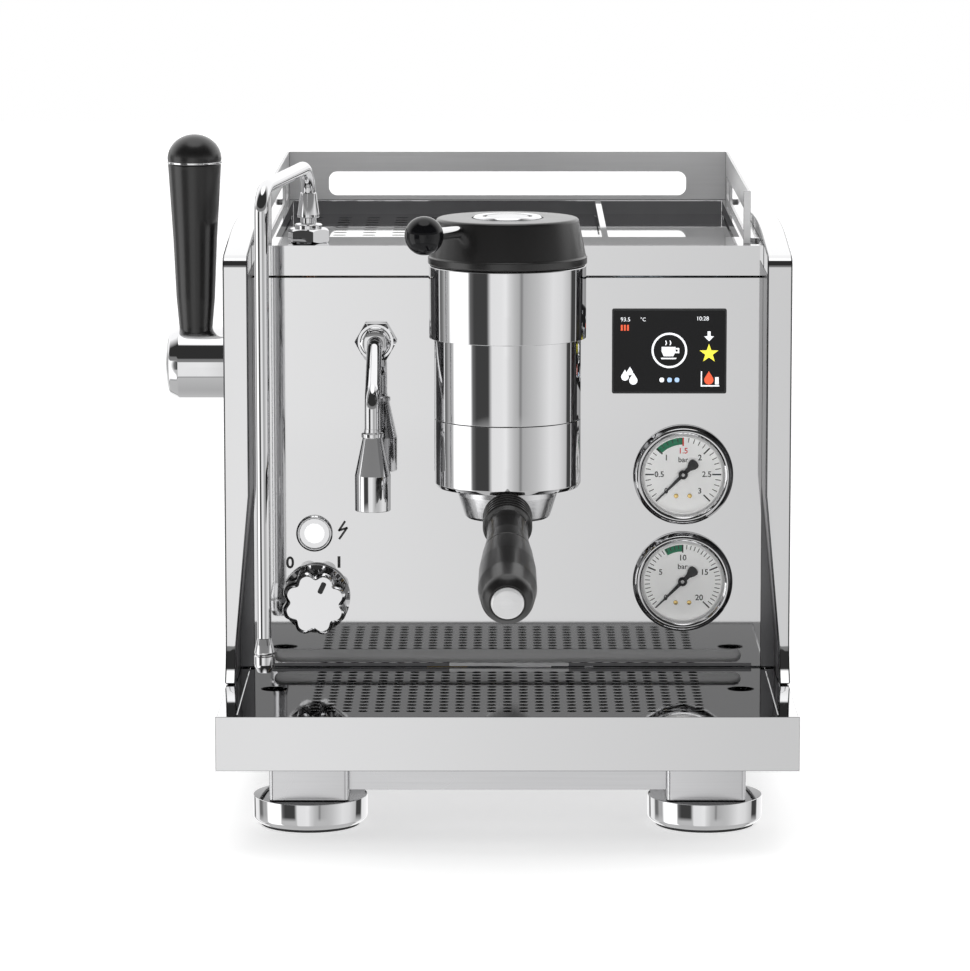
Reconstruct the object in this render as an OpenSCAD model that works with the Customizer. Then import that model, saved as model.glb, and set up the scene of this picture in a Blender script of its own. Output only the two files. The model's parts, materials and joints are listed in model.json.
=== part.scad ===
// Two-boiler espresso machine with a paddle group, a steam wand and a hot-water spout.
// Front is -Y, up is +Z, and the machine stands on Z = 0. Inside the modules X = 0 is the
// group's centre plane and Y = 0 is the middle of the body; to_origin() then moves every
// sub-part so that the row's origin is under the middle of the whole outline.

/* [Body] */
// Width across the two side cheeks
body_w = 362; // [358:1:366]
// Depth from the tray's front plate to the back panel
body_d = 510; // [506:1:514]
// Height of the deck above the table
deck_z = 364; // [362:1:366]
// Height of the drip tray's rim
rim_z = 88; // [87:1:89]
// Thickness of a side cheek
cheek_t = 16; // [14:1:18]
// Height of the cup rail above the deck
rail_h = 34; // [28:1:40]

/* [Front controls] */
// Outer diameter of the gauge bezels
gauge_d = 65; // [60:1:66]
// Width of the display
display_w = 74; // [66:1:78]
// Height of the display
display_h = 55; // [48:1:56]
// Outer diameter of the power knob
knob_d = 44.5; // [40:0.5:46]
// Degrees that the power knob's pointer stands clockwise of the top
knob_angle = 25; // [20:1:31]

/* [Group and portafilter] */
// Distance of the group's axis in front of the front panel
group_reach = 96; // [94:1:98]
// Outer diameter of the group's upper cover
group_d = 98.5; // [96:0.5:99]
// Outer diameter of the portafilter's bowl
bowl_d = 62; // [61:0.5:62]
// Downward slope of the portafilter's handle, in degrees
handle_slope = 11.3; // [9:0.1:13]
// Distance of the handle's end from the group's axis
handle_reach = 196; // [190:1:200]
// Distance of the paddle's ball from the group's axis
paddle_reach = 76.4; // [74:0.2:78]
// Degrees that the paddle stands left of the front
paddle_angle = 42; // [38:1:46]

/* [Steam and water] */
// Distance that the steam lever's hub stands out of the cheek
hub_reach = 43.5; // [42:0.5:45]
// Height of the steam lever above the hub's axis
lever_h = 151; // [145:1:155]
// Diameter of the steam wand's pipe
wand_d = 9; // [8:0.5:10]

/* [Drip tray] */
// Spacing of the grate's round holes
hole_pitch = 10; // [10:1:12]
// Diameter of the grate's round holes
hole_d = 6; // [5:0.5:6.5]

/* [Hidden] */
$fn = 96;

// Sheet thickness of the panels and the running gap beside moving pieces
sheet = 1.5;
gap = 0.3;
// Shanks of the panel screws
screw_r = 1.5;
screw_h = 5;
// Faces of the body
cheek_x = body_w / 2;
inner_x = cheek_x - cheek_t;
front_y = -body_d / 2;
back_y = body_d / 2;
tray_depth = 167;
panel_y = front_y + tray_depth + 1;
panel_bottom = rim_z + 0.6;
panel_top = deck_z - 21;
chassis_top = 53.4;
chassis_low = chassis_top - 3;
cheek_low = 46;
tray_bottom = 53.9;
// Cup deck: the recess in the top cover, and the wall between its two lids
recess_x = 152;
recess_y = [panel_y + 56, back_y - 20];
recess_z = deck_z - 11;
divider_x = 64;
tank_low = [divider_x + 6, recess_y[0] + 12, 150];
tank_high = [recess_x - 6, recess_y[1] - 12, recess_z - 6];
tank_wall = 2.5;
// Cup rail, from the group's plane and along the body
rail_x = 157;
rail_y = [panel_y + 10, back_y - 10];
// Side view of a cheek, as [y, z]: a straight front edge, a low ridge and a swept foot
cheek_front = panel_y - 48;
cheek_outline = concat(
    [[panel_y + 1, cheek_low], [back_y - 8, cheek_low], [back_y - 8, deck_z - 16]],
    curve([back_y - 8, deck_z - 12], [back_y - 8, deck_z - 5], [back_y - 14, deck_z - 4.5],
        [back_y - 30, deck_z - 3], 6),
    curve([90, deck_z + 5], [40, deck_z + 8], [-30, deck_z + 8], [-70, deck_z + 3], 8),
    curve([cheek_front + 8, deck_z - 2], [cheek_front + 3, deck_z - 2.6],
        [cheek_front, deck_z - 5], [cheek_front, deck_z - 10], 5),
    [[cheek_front, rim_z + 60]],
    curve([cheek_front, rim_z + 30], [cheek_front, rim_z + 15], [cheek_front - 6, rim_z + 8],
        [cheek_front - 15, rim_z + 0.6], 6),
    [[panel_y + 1, rim_z + 0.6]]);
// Feet, measured from the body's centre
foot_x = 126.2;
foot_y = [front_y + 98, back_y - 60];
foot_r = 36.6;
foot_top = 19;
block_w = 50.4;
stud_r = 6;
// Brew group: its axis and the heights of its pieces
group_y = panel_y - group_reach;
cap_z = deck_z - 2.6;
cap_top = cap_z + 29.6;
cap_band = 5.6;
cover_z = cap_z - 45.4;
sleeve_z = cap_z - 139.4;
neck_z = sleeve_z + 67.5;
neck_r = 28;
seat_z = sleeve_z + 17.5;
// Portafilter
bowl_r = bowl_d / 2;
bowl_bottom = sleeve_z - 16.5;
bowl_taper = 15;
basket_z = bowl_bottom + 14.4;
handle_z = bowl_bottom + 13.2;
// Handle profile, as [radius, distance from the group's axis]: collar, neck, then swell
collar_start = bowl_r + 13.5;
handle_profile = concat([[0, collar_start], [12, collar_start], [14, collar_start + 2],
    [15.4, collar_start + 3], [15.4, collar_start + 22]],
    curve([13, collar_start + 26], [11.4, collar_start + 42], [15, collar_start + 60],
        [17, collar_start + 90], 10),
    curve([17.5, collar_start + 106], [18, collar_start + 128], [16, handle_reach - 14],
        [11, handle_reach], 8),
    [[0, handle_reach]]);
// Paddle, and the spindle that it turns
spindle_r = 6;
ball_r = 12;
ball_z = cap_top - 6;
// Front controls, as [x, z]
display_at = [104.5, deck_z - 68.5];
steam_gauge_at = [113.8, deck_z - 149];
pump_gauge_at = [113.8, deck_z - 219.2];
lamp_at = [-125.4, deck_z - 187.7];
knob_at = [-124.7, deck_z - 230];
spout_at = [-85, deck_z - 61.7];
// Steam lever: its hub's axis, as [y, z], and the wand's swivel, as [x, y]
hub_at = [-20, deck_z - 84.5];
hub_r = 23.5;
lever_x = -cheek_x - 24.4;
// Heights of the lever's grip above the hub's axis
grip_z = [hub_r - 2, lever_h - 19];
wand_at = [-129, panel_y + 22];
wand_drop = [-153.2, group_y - 8];
// Ground joint between the wand's bulge and its tip
wand_joint_z = rim_z + 28;
// Boilers, as [x, z], with their outer radii
brew_at = [0, neck_z];
brew_r = 43;
steam_at = [-96, 238];
steam_r = 54;
// Pump and motor axis, as [x, z]
pump_at = [-40, 104];
motor_r = 34;
motor_back = 138;
// Supplies
inlet_at = [-110, 92];
water_at = [28, 150];
water_r = 8.33;
// Middle of the whole outline, seen from above
home = [hub_reach / 2, (handle_front() - back_y - 2.5) / 2, 0];

function handle_front() = -group_y + (handle_reach + 3) * cos(handle_slope)
    + 10 * sin(handle_slope);
function unit(v) = v / norm(v);
// Points on a cubic curve through a and d, drawn towards b and c
function curve(a, b, c, d, steps) = [for (i = [0:steps]) let (t = i / steps, s = 1 - t)
    s * s * s * a + 3 * s * s * t * b + 3 * s * t * t * c + t * t * t * d];

module to_origin() translate(home) children();

// Solid cylinder along Y between two depths
module rod_y(at, y0, y1, r) translate([at[0], y1, at[1]]) rotate([90, 0, 0])
    cylinder(h = y1 - y0, r = r);

// Solid cylinder along X between two widths
module rod_x(at, x0, x1, r) translate([x0, at[0], at[1]]) rotate([0, 90, 0])
    cylinder(h = x1 - x0, r = r);

// Outline drawn as seen from the front, made t thick behind depth y
module sheet_y(y, t) translate([0, y + t, 0]) rotate([90, 0, 0]) linear_extrude(t) children();

// Outline drawn in Y and Z, made t thick to the right of x
module sheet_x(x, t) translate([x, 0, 0]) rotate([90, 0, 90]) linear_extrude(t) children();

module rounded(w, h, r) {
    square([w - 2 * r, h], center = true);
    square([w, h - 2 * r], center = true);
    for (x = [-1, 1], y = [-1, 1]) translate([x * (w / 2 - r), y * (h / 2 - r)]) circle(r);
}

module block(low, high) translate(low) cube(high - low);

module tube(r, bore, h) difference() {
    cylinder(h = h, r = r);
    translate([0, 0, -1]) cylinder(h = h + 2, r = bore);
}

module hex(flats, h) cylinder(h = h, r = flats / sqrt(3), $fn = 6);

// Frame whose Z runs along direction d from point p
module aim(p, d) {
    side = abs(d[2]) > 0.99 ? [1, 0, 0] : unit(cross([0, 0, 1], d));
    up = cross(d, side);
    multmatrix([[side[0], up[0], d[0], p[0]], [side[1], up[1], d[1], p[1]],
        [side[2], up[2], d[2], p[2]], [0, 0, 0, 1]]) children();
}

function turn_at(p, i) = acos(unit(p[i] - p[i - 1]) * unit(p[i + 1] - p[i]));
function set_back(p, i, bend) = i == 0 || i == len(p) - 1 ? 0 : bend * tan(turn_at(p, i) / 2);

// Round pipe through points p with true bends of radius bend, a hair thicker in the bends
module pipe(p, r, bend) {
    for (i = [0:len(p) - 2]) {
        d = unit(p[i + 1] - p[i]);
        start = set_back(p, i, bend);
        finish = set_back(p, i + 1, bend);
        // Runs reach a little way into their bends
        low = start > 0 ? start - 0.2 : 0;
        high = norm(p[i + 1] - p[i]) - (finish > 0 ? finish - 0.2 : 0);
        aim(p[i] + d * low, d) cylinder(h = high - low, r = r);
    }
    for (i = [1:1:len(p) - 2]) {
        along = unit(p[i] - p[i - 1]);
        after = unit(p[i + 1] - p[i]);
        inward = unit(after - along * (along * after));
        axle = cross(-inward, along);
        corner = p[i] - along * set_back(p, i, bend) + inward * bend;
        multmatrix([[-inward[0], along[0], axle[0], corner[0]],
            [-inward[1], along[1], axle[1], corner[1]],
            [-inward[2], along[2], axle[2], corner[2]], [0, 0, 0, 1]])
            rotate_extrude(angle = turn_at(p, i)) translate([bend, 0]) circle(r * 1.01, $fn = 48);
    }
}

module at_feet() for (x = [-foot_x, foot_x], y = foot_y) translate([x, y, 0]) children();

// Chassis: a folded base plate, cross bars between the feet and four corner posts
module base_frame() color("silver") to_origin() {
    wall = inner_x - 1;
    bar_x = foot_x - block_w / 2 - 0.1;
    difference() {
        block([-wall, front_y + 24, chassis_low], [wall, back_y - 2, chassis_top]);
        for (x = [-90:20:90]) translate([x, 20, 40]) linear_extrude(20) rounded(5, 60, 2.4);
        translate([water_at[0], water_at[1], 40]) cylinder(h = 20, r = 8);
    }
    for (y = [foot_y[0] - 16, foot_y[1]])
        block([-bar_x, y, foot_top + 5.7], [bar_x, y + 12, chassis_low]);
    for (x = [-wall, wall - 10], y = [panel_y + 4, back_y - 16])
        translate([x, y, chassis_top]) difference() {
            cube([10, 10, panel_top - 3 - chassis_top]);
            translate([x < 0 ? 2 : -2, y < 0 ? 2 : -2, -1]) cube([10, 10, 400]);
        }
}

module foot_blocks() color("dimgray") to_origin() at_feet() difference() {
    translate([0, 0, foot_top]) linear_extrude(chassis_low - foot_top)
        rounded(block_w, block_w, 3);
    translate([0, 0, foot_top - 1]) cylinder(h = 23, r = stud_r);
}

// Chromed foot cups with their levelling studs, hollow above the pads
module foot_cups() color("gainsboro") to_origin() at_feet() {
    rotate_extrude() difference() {
        union() {
            translate([0, 1.5]) square([foot_r - 4, foot_top - 1.5]);
            translate([0, 5.5]) square([foot_r, foot_top - 5.5]);
            translate([foot_r - 4, 5.5]) circle(4);
        }
        translate([-foot_r * 2, 0]) square([foot_r * 2, 30]);
        translate([stud_r + 4, 0]) square([foot_r - 17, foot_top - 3]);
    }
    translate([0, 0, foot_top - 3]) cylinder(h = 25, r = stud_r);
}

module foot_pads() color("black") to_origin() at_feet() cylinder(h = 1.5, r = foot_r - 5);

module left_cheek() color("gainsboro") to_origin() difference() {
    cheek_blank(-1);
    rod_x(hub_at, -cheek_x - 5, -inner_x + 5, 9);
}

module right_cheek() color("gainsboro") to_origin() cheek_blank(1);

// Cheek pressing on the side given by s: -1 left, 1 right. It is hollow beside the body
module cheek_blank(s) difference() {
    sheet_x(s < 0 ? -cheek_x : inner_x, cheek_t) polygon(cheek_outline);
    sheet_x(s < 0 ? -cheek_x + 2 : inner_x - 2, cheek_t)
        polygon([[panel_y + 4, 50], [back_y - 20, 50], [back_y - 20, deck_z - 22],
            [panel_y + 4, deck_z - 22]]);
    // Inner face cut back in front of the panel, below the lever's height
    sheet_y(cheek_front - 20, panel_y - cheek_front + 18)
        polygon([[s * (inner_x - 1), rim_z], [s * (inner_x + 9), rim_z],
            [s * (inner_x + 9), rim_z + 22], [s * inner_x, rim_z + 120],
            [s * (inner_x - 1), rim_z + 120]]);
}

// Four screws in the top cover's corners, and six in the back panel
module at_screws() {
    for (x = [-161, 161], y = [panel_y + 30, back_y - 30]) translate([x, y, deck_z]) children();
    for (x = [-164, 0, 164], z = [60, 330])
        translate([x, back_y, z]) rotate([-90, 0, 0]) children();
}

module screw_holes() at_screws() translate([0, 0, -screw_h - 1])
    cylinder(h = screw_h + 2, r = screw_r + 0.1);

// Front panel with its cut-outs, and the long slot behind the tray
module front_panel() color("silver") to_origin() difference() {
    sheet_y(panel_y, sheet) difference() {
        translate([-inner_x + 0.2, panel_bottom])
            square([2 * inner_x - 0.4, panel_top - panel_bottom]);
        translate([0, neck_z]) circle(neck_r + 1.5);
        translate(display_at) rounded(display_w - 6, display_h - 6, 2);
        for (at = [steam_gauge_at, pump_gauge_at]) translate(at) circle(gauge_d / 2 - 3.5);
        translate(lamp_at) circle(8);
        translate(knob_at) circle(8);
        translate(spout_at) circle(8.5);
        translate([0, rim_z + 7.5]) rounded(304, 8.6, 4.2);
    }
}

module back_panel() color("silver") to_origin() difference() {
    sheet_y(back_y - 2, 2) difference() {
        translate([-cheek_x + 8, cheek_low]) square([body_w - 16, deck_z - cheek_low - 16]);
        for (z = [240:12:312], x = [-84, 0, 84]) translate([x, z]) rounded(60, 4, 1.9);
        for (z = [80:12:128], x = [30, 104]) translate([x, z]) rounded(50, 4, 1.9);
        translate(inlet_at) square([28, 20.5], center = true);
    }
    screw_holes();
}

// Top cover: the deck, its front lip and the recess that the lids lie in
module top_cover() color("silver") to_origin() {
    difference() {
        union() {
            block([-inner_x + 0.2, panel_y - 1.5, deck_z - 19.4],
                [inner_x - 0.2, panel_y, deck_z]);
            block([-inner_x + 0.2, panel_y, deck_z - 2],
                [inner_x - 0.2, back_y - 2.2, deck_z]);
            block([-inner_x + 0.2, back_y - 4.2, deck_z - 30],
                [inner_x - 0.2, back_y - 2.2, deck_z]);
            block([-recess_x - 1.5, recess_y[0] - 1.5, recess_z - 1.5],
                [recess_x + 1.5, recess_y[1] + 1.5, deck_z - 1]);
        }
        block([-recess_x, recess_y[0], recess_z], [divider_x - 2, recess_y[1], deck_z + 1]);
        block([divider_x + 2, recess_y[0], recess_z], [recess_x, recess_y[1], deck_z + 1]);
        // Warm air rises through the cup side, and the tank is filled through the other
        block([-recess_x + 8, recess_y[0] + 8, recess_z - 5],
            [divider_x - 10, recess_y[1] - 8, recess_z + 1]);
        block([divider_x + 8, recess_y[0] + 8, recess_z - 5],
            [recess_x - 8, recess_y[1] - 8, recess_z + 1]);
        translate([wand_at[0], wand_at[1], deck_z - 5]) cylinder(h = 10, r = 7);
        screw_holes();
    }
}

module cup_plate() color("silver") to_origin() difference() {
    block([-recess_x + 0.6, recess_y[0] + 0.6, recess_z],
        [divider_x - 2.6, recess_y[1] - 0.6, recess_z + 1.5]);
    for (x = [-134:20:46], y = [recess_y[0] + 20:18:recess_y[1] - 18])
        translate([x, y, recess_z - 1]) linear_extrude(4) rounded(9, 4.5, 2.2);
}

module tank_lid() color("silver") to_origin() difference() {
    union() {
        block([divider_x + 2.6, recess_y[0] + 0.6, recess_z],
            [recess_x - 0.6, recess_y[1] - 0.6, recess_z + 1.5]);
        block([divider_x + 12, recess_y[0] + 12, recess_z - 3],
            [recess_x - 12, recess_y[0] + 14, recess_z]);
    }
    translate([divider_x + 43, recess_y[0] + 30, recess_z - 5]) cylinder(h = 10, r = 8);
}

module water_tank() color("lightblue") to_origin() difference() {
    block(tank_low, tank_high);
    block(tank_low + tank_wall * [1, 1, 1],
        [tank_high[0] - tank_wall, tank_high[1] - tank_wall, recess_z]);
    translate([divider_x + 40, 60, 140]) cylinder(h = 20, r = 5);
}

// Cup rail: one folded fence with a window in each side

module rail_side() difference() {
    translate([rail_y[0], deck_z]) square([rail_y[1] - rail_y[0], rail_h]);
    translate([(rail_y[0] + rail_y[1]) / 2 - 22, deck_z + (rail_h - 13) / 2])
        rounded(rail_y[1] - rail_y[0] - 88, rail_h - 13 - 6, 5);
    translate([rail_y[1] - 35, deck_z + (rail_h - 13) / 2]) rounded(40, rail_h - 19, 5);
}

module cup_rail() color("gainsboro") to_origin() {
    for (x = [-rail_x, rail_x - 2]) {
        sheet_x(x, 2) rail_side();
        block([x < 0 ? x : x - 2.6, rail_y[0], deck_z],
            [x < 0 ? x + 4.6 : x + 2, rail_y[0] + 2, deck_z + rail_h]);
    }
    sheet_y(rail_y[1] - 2, 2) difference() {
        translate([-rail_x, deck_z]) square([2 * rail_x, rail_h]);
        translate([0, deck_z + (rail_h - 13) / 2 + 1]) rounded(254, rail_h - 17, 6);
    }
}

// Casting of the group: its chamber, and the neck bolted to the brew boiler
module group_body() color("darkgray") to_origin() difference() {
    union() {
        translate([0, group_y, seat_z + 9]) cylinder(h = cover_z + 40 - seat_z - 9, r = 36);
        translate([0, group_y, seat_z + 9]) cylinder(h = 10, r = 43.3);
        rod_y([0, neck_z], group_y, panel_y + 24, neck_r);
        rod_y([0, neck_z], panel_y + 16, panel_y + 24, 40);
    }
    // Chamber, its outlet to the screen, and the way in from the boiler
    translate([0, group_y, seat_z + 20]) cylinder(h = cap_z - 32 - seat_z - 20, r = 20);
    translate([0, group_y, seat_z]) cylinder(h = 30, r = 5);
    rod_y([0, neck_z], group_y, panel_y + 30, 18);
    translate([0, group_y, cap_z - 26]) cylinder(h = 40, r = spindle_r + 0.05);
}

module neck_notch() rod_y([0, neck_z], group_y, panel_y, neck_r + 0.6);

module group_upper_cover() color("gainsboro") to_origin() difference() {
    translate([0, group_y, cover_z]) difference() {
        cylinder(h = cap_z - cover_z, r = group_d / 2);
        translate([0, 0, -1]) cylinder(h = 42, r = group_d / 2 - 1.5);
        cylinder(h = 60, r = 30);
    }
    neck_notch();
}

module group_sleeve() color("gainsboro") to_origin() difference() {
    translate([0, group_y, sleeve_z]) rotate_extrude() difference() {
        union() {
            translate([43.4, 4]) square([2.6, cover_z - sleeve_z - 4]);
            translate([43.4, 0]) square([1, 5]);
            intersection() {
                translate([42, 4]) circle(4);
                translate([43.4, 0]) square(5);
            }
        }
        translate([45.5, 43]) square([1, 0.8]);
    }
    neck_notch();
}

// Bayonet collar: a groove for the portafilter's ears, entered through two notches
module group_collar() color("darkgray") to_origin() translate([0, group_y, sleeve_z + 2.5])
    difference() {
        cylinder(h = 24, r = 43.3);
        translate([0, 0, -1]) cylinder(h = 9, r = 36.6);
        translate([0, 0, 7.5]) cylinder(h = 7, r = 39.8);
        translate([0, 0, 14]) cylinder(h = 11, r = 36.6);
        for (a = [-60, 120]) rotate(a) translate([0, 0, -1]) rotate_extrude(angle = 30)
            translate([30, 0]) square([9.4, 9]);
    }

module group_gasket() color("black") to_origin() translate([0, group_y, seat_z])
    tube(36.6, 28.6, 9);

module shower_screen() color("silver") to_origin() translate([0, group_y, seat_z + 0.4])
    difference() {
        cylinder(h = 8.6, r = 28.6);
        translate([0, 0, 1.2]) cylinder(h = 20, r = 26.5);
        for (ring = [1:3], i = [0:6 * ring - 1]) rotate(i * 60 / ring)
            translate([ring * 7, 0, -1]) cylinder(h = 4, r = 1.2, $fn = 16);
    }

// Turning cap of the paddle, with its round top plate and the spindle under it
module paddle_cap() color([0.08, 0.08, 0.08]) to_origin() translate([0, group_y, cap_z])
    difference() {
        union() {
            translate([0, 0, -24]) cylinder(h = 26, r = spindle_r);
            translate([0, 0, gap]) cylinder(h = cap_band - gap, r = group_d / 2 + 0.5);
            translate([0, 0, cap_band])
                cylinder(h = cap_top - cap_z - cap_band, r1 = group_d / 2, r2 = 43.5);
            translate([0, 0, cap_top - cap_z]) cylinder(h = 1.2, r = 21);
        }
        translate([0, 0, -1]) tube(30, spindle_r, 25);
        stem_hole();
    }

module stem_line(from, to, r) rotate(-90 - paddle_angle) translate([from, 0, ball_z - cap_z])
    rotate([0, 90, 0]) cylinder(h = to - from, r = r);

module stem_hole() stem_line(38, 60, 4);

module paddle_stem() color("gainsboro") to_origin() translate([0, group_y, cap_z]) {
    stem_line(38, paddle_reach - 4, 4);
}

module paddle_ball() color("black") to_origin() translate([0, group_y, cap_z])
    difference() {
        rotate(-90 - paddle_angle) translate([paddle_reach, 0, ball_z - cap_z])
            sphere(ball_r, $fn = 64);
        stem_line(38, paddle_reach - 4, 4);
    }

// Portafilter: everything hangs on the group's axis
module on_group(z) translate([0, group_y, z]) children();

module handle_line() on_group(handle_z) rotate([90 + handle_slope, 0, 0]) children();

module portafilter_bowl() color("gainsboro") to_origin() {
    difference() {
        union() {
            on_group(bowl_bottom) cylinder(h = bowl_taper, r1 = bowl_r - 4.5, r2 = bowl_r);
            on_group(bowl_bottom + bowl_taper)
                cylinder(h = seat_z - 1.2 - bowl_bottom - bowl_taper, r = bowl_r);
            on_group(seat_z - 5.2) cylinder(h = 4, r = 35.8);
            on_group(seat_z - 6.4) for (a = [-14, 166]) rotate(a) rotate_extrude(angle = 28)
                translate([bowl_r - 1, 0]) square([39.2 - bowl_r + 1, 4]);
            handle_line() translate([0, 0, bowl_r - 4]) cylinder(h = collar_start - bowl_r + 4, r = 8);
        }
        on_group(basket_z - 0.4) cylinder(h = 60, r = bowl_r - 1.4);
        on_group(bowl_bottom + 4) cylinder(h = 12, r = bowl_r - 8);
        on_group(bowl_bottom - 1) cylinder(h = 10, r = 6);
    }
}

module filter_basket() color("silver") to_origin() on_group(basket_z) difference() {
    rim = seat_z - basket_z - 1.2;
    union() {
        cylinder(h = rim, r = bowl_r - 1.6);
        translate([0, 0, rim]) cylinder(h = 0.8, r = 34);
    }
    translate([0, 0, 0.8]) cylinder(h = 60, r = bowl_r - 2.4);
    for (ring = [1:3], i = [0:6 * ring - 1]) rotate(i * 60 / ring)
        translate([ring * 7.5, 0, -1]) cylinder(h = 4, r = 0.8, $fn = 16);
}

module portafilter_spout() color("gainsboro") to_origin() on_group(bowl_bottom - 9)
    difference() {
        union() {
            cylinder(h = 9, r1 = 8, r2 = 10);
            cylinder(h = 13, r = 6);
        }
        translate([0, 0, -1]) cylinder(h = 20, r = 3.5);
    }

module portafilter_handle() color([0.06, 0.06, 0.06]) to_origin() handle_line()
    rotate_extrude() polygon(handle_profile);

module handle_end_cap() color("gainsboro") to_origin() handle_line()
    translate([0, 0, handle_reach]) {
        cylinder(h = 1.5, r = 10);
        translate([0, 0, 1.5]) cylinder(h = 1.5, r1 = 10, r2 = 8);
    }

// Insulated boilers lie along Y; the brew boiler is bolted to the group's neck
module boiler(at, y0, y1, r) {
    rod_y(at, y0, y0 + 8, r + 5);
    rod_y(at, y0, y1, r);
    rod_y(at, y1 - 8, y1, r + 5);
    for (x = [-13, 13]) rod_y([at[0] + x, at[1]], y1 - 1, y1 + 16, 3);
}

module brew_boiler() color("peru") to_origin() difference() {
    boiler(brew_at, panel_y + 24, panel_y + 188, brew_r);
    rod_y(brew_at, panel_y + 32, panel_y + 180, brew_r - 2);
}

module steam_boiler() color("peru") to_origin() difference() {
    union() {
        boiler(steam_at, 14, 208, steam_r);
        for (x = [-30, 12]) block([steam_at[0] + x, 40, chassis_top],
            [steam_at[0] + x + 4, 180, steam_at[1] - 44]);
    }
    rod_y(steam_at, 22, 200, steam_r - 2);
}

module safety_valve() color("goldenrod") to_origin() difference() {
    translate([steam_at[0], 60, steam_at[1] + steam_r - 1]) {
        hex(16, 10);
        translate([0, 0, 10]) cylinder(h = 18, r = 6);
        translate([0, 0, 28]) cylinder(h = 5, r = 8);
    }
    rod_y(steam_at, 40, 80, steam_r + 0.05);
}

module gear_pump() color("goldenrod") to_origin() {
    difference() {
        union() {
            rod_y(pump_at, -40, 8, 28);
            block([pump_at[0] - 34, -40, pump_at[1] - 12], [pump_at[0] + 34, -16, pump_at[1] + 12]);
        }
        rod_y(pump_at, 0, 10, 9);
    }
}

module pump_motor() color("dimgray") to_origin() difference() {
    union() {
        rod_y(pump_at, 44, motor_back, motor_r);
        rod_y(pump_at, 38, 45, motor_r - 8);
        block([pump_at[0] - 30, 54, chassis_top], [pump_at[0] + 30, motor_back - 10, pump_at[1] - 26]);
    }
    rod_y(pump_at, 36, 50, 9);
}

// Motor shaft with its coupling, free to spin between motor and pump
module pump_coupling() color("silver") to_origin() {
    rod_y(pump_at, 1, 49, 6);
    rod_y(pump_at, 14, 32, 12);
}

module valve_at(at) translate(at) {
    translate([0, 0, 6]) cube([22, 22, 12], center = true);
    translate([0, 0, 12]) cylinder(h = 12, r = 6);
    translate([0, 0, 40]) cube([30, 24, 32], center = true);
}

module solenoid_valves() color("gray") to_origin() {
    valve_at([40, panel_y + 50, chassis_top + 20]);
    valve_at([-85, panel_y + 30, chassis_top + 20]);
    for (at = [[40, panel_y + 50], [-85, panel_y + 30]])
        block([at[0] - 8, at[1] - 10, chassis_top], [at[0] + 8, at[1] + 10, chassis_top + 20]);
}

module control_box() color("black") to_origin() difference() {
    block([58, 30, chassis_top], [152, 210, 118]);
    block([60, 32, chassis_top + 2], [150, 208, 116]);
}

// Copper runs between pump, boilers, steam valve and spout
module pipes() color("peru") to_origin() {
    pipe([[pump_at[0] + 34, -28, pump_at[1]], [14, -28, pump_at[1]], [14, 20, pump_at[1]],
        [14, 20, brew_at[1] - brew_r + 4]], 3, 8);
    pipe([[pump_at[0] - 34, -28, pump_at[1]], [-96, -28, pump_at[1]],
        [-96, 70, pump_at[1] + 40], [-96, 70, steam_at[1] - steam_r + 1]], 3, 8);
    pipe([[-110, 30, steam_at[1] + 51], [-110, 30, 322], [-150, -2, 322],
        [-150, hub_at[0], 322], [-150, hub_at[0], hub_at[1] + 13]], 4, 8);
    pipe([[-150, hub_at[0], hub_at[1] - 13], [-150, hub_at[0], 250],
        [-150, wand_at[1], 250], [wand_at[0], wand_at[1], 250],
        [wand_at[0], wand_at[1], deck_z - 6]], 4, 8);
    pipe([[spout_at[0], panel_y + 12, spout_at[1]], [spout_at[0], panel_y + 30, spout_at[1]],
        [spout_at[0], panel_y + 30, chassis_top + 76]], 3, 8);
}

// Steam valve body on the left, with the stem bore that opens towards the lever
module steam_valve_body() color("goldenrod") to_origin() difference() {
    union() {
        rod_x(hub_at, -inner_x + 1, -136, 13);
        translate([-150, hub_at[0], hub_at[1] - 13]) cylinder(h = 26, r = 7);
    }
    rod_x(hub_at, -inner_x, -142, 5.05);
}

module steam_valve_stem() color("silver") to_origin() rod_x(hub_at, -cheek_x - 8, -146, 5);

// Lever hub outside the cheek, with a domed end
module lever_hub() color("gainsboro") to_origin() difference() {
    translate([-cheek_x - 0.6, hub_at[0], hub_at[1]]) rotate([0, -90, 0]) rotate_extrude()
        polygon(concat([[0, 0], [hub_r - 1, 0], [hub_r, 1], [hub_r, hub_reach - 10]],
            curve([hub_r, hub_reach - 7], [hub_r, hub_reach - 3], [hub_r - 4, hub_reach - 0.6],
                [hub_r - 9, hub_reach - 0.6], 8),
            [[0, hub_reach - 0.6]]));
    rod_x(hub_at, -cheek_x - 12, -cheek_x + 1, 5.05);
}

module lever_line() translate([lever_x, hub_at[0], hub_at[1]]) children();

module lever_handle() color([0.06, 0.06, 0.06]) to_origin() difference() {
    lever_line() {
        translate([0, 0, grip_z[0]]) cylinder(h = grip_z[1] - grip_z[0], r1 = 12, r2 = 17.6);
        translate([0, 0, grip_z[1] + 1.5]) rotate_extrude() polygon(concat([[0, 0]],
            curve([17.8, 0], [18.4, 9], [13, 17.5], [0, lever_h - grip_z[1] - 1.5], 14)));
    }
    rod_x(hub_at, -cheek_x - hub_reach - 5, -cheek_x, hub_r);
}

module lever_ring() color("gainsboro") to_origin() lever_line()
    translate([0, 0, grip_z[1]]) cylinder(h = 1.5, r = 18);

// Swivel nut of the wand on the deck, with the seat for the wand's riser
module wand_nut() color("gainsboro") to_origin() translate([wand_at[0], wand_at[1], deck_z])
    difference() {
        union() {
            hex(24, 9);
            translate([0, 0, 9]) cylinder(h = 3, r = 9);
            translate([0, 0, -5]) cylinder(h = 6, r = 6.8);
        }
        translate([0, 0, -6]) cylinder(h = 30, r = wand_d / 2 + 0.05);
    }

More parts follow.
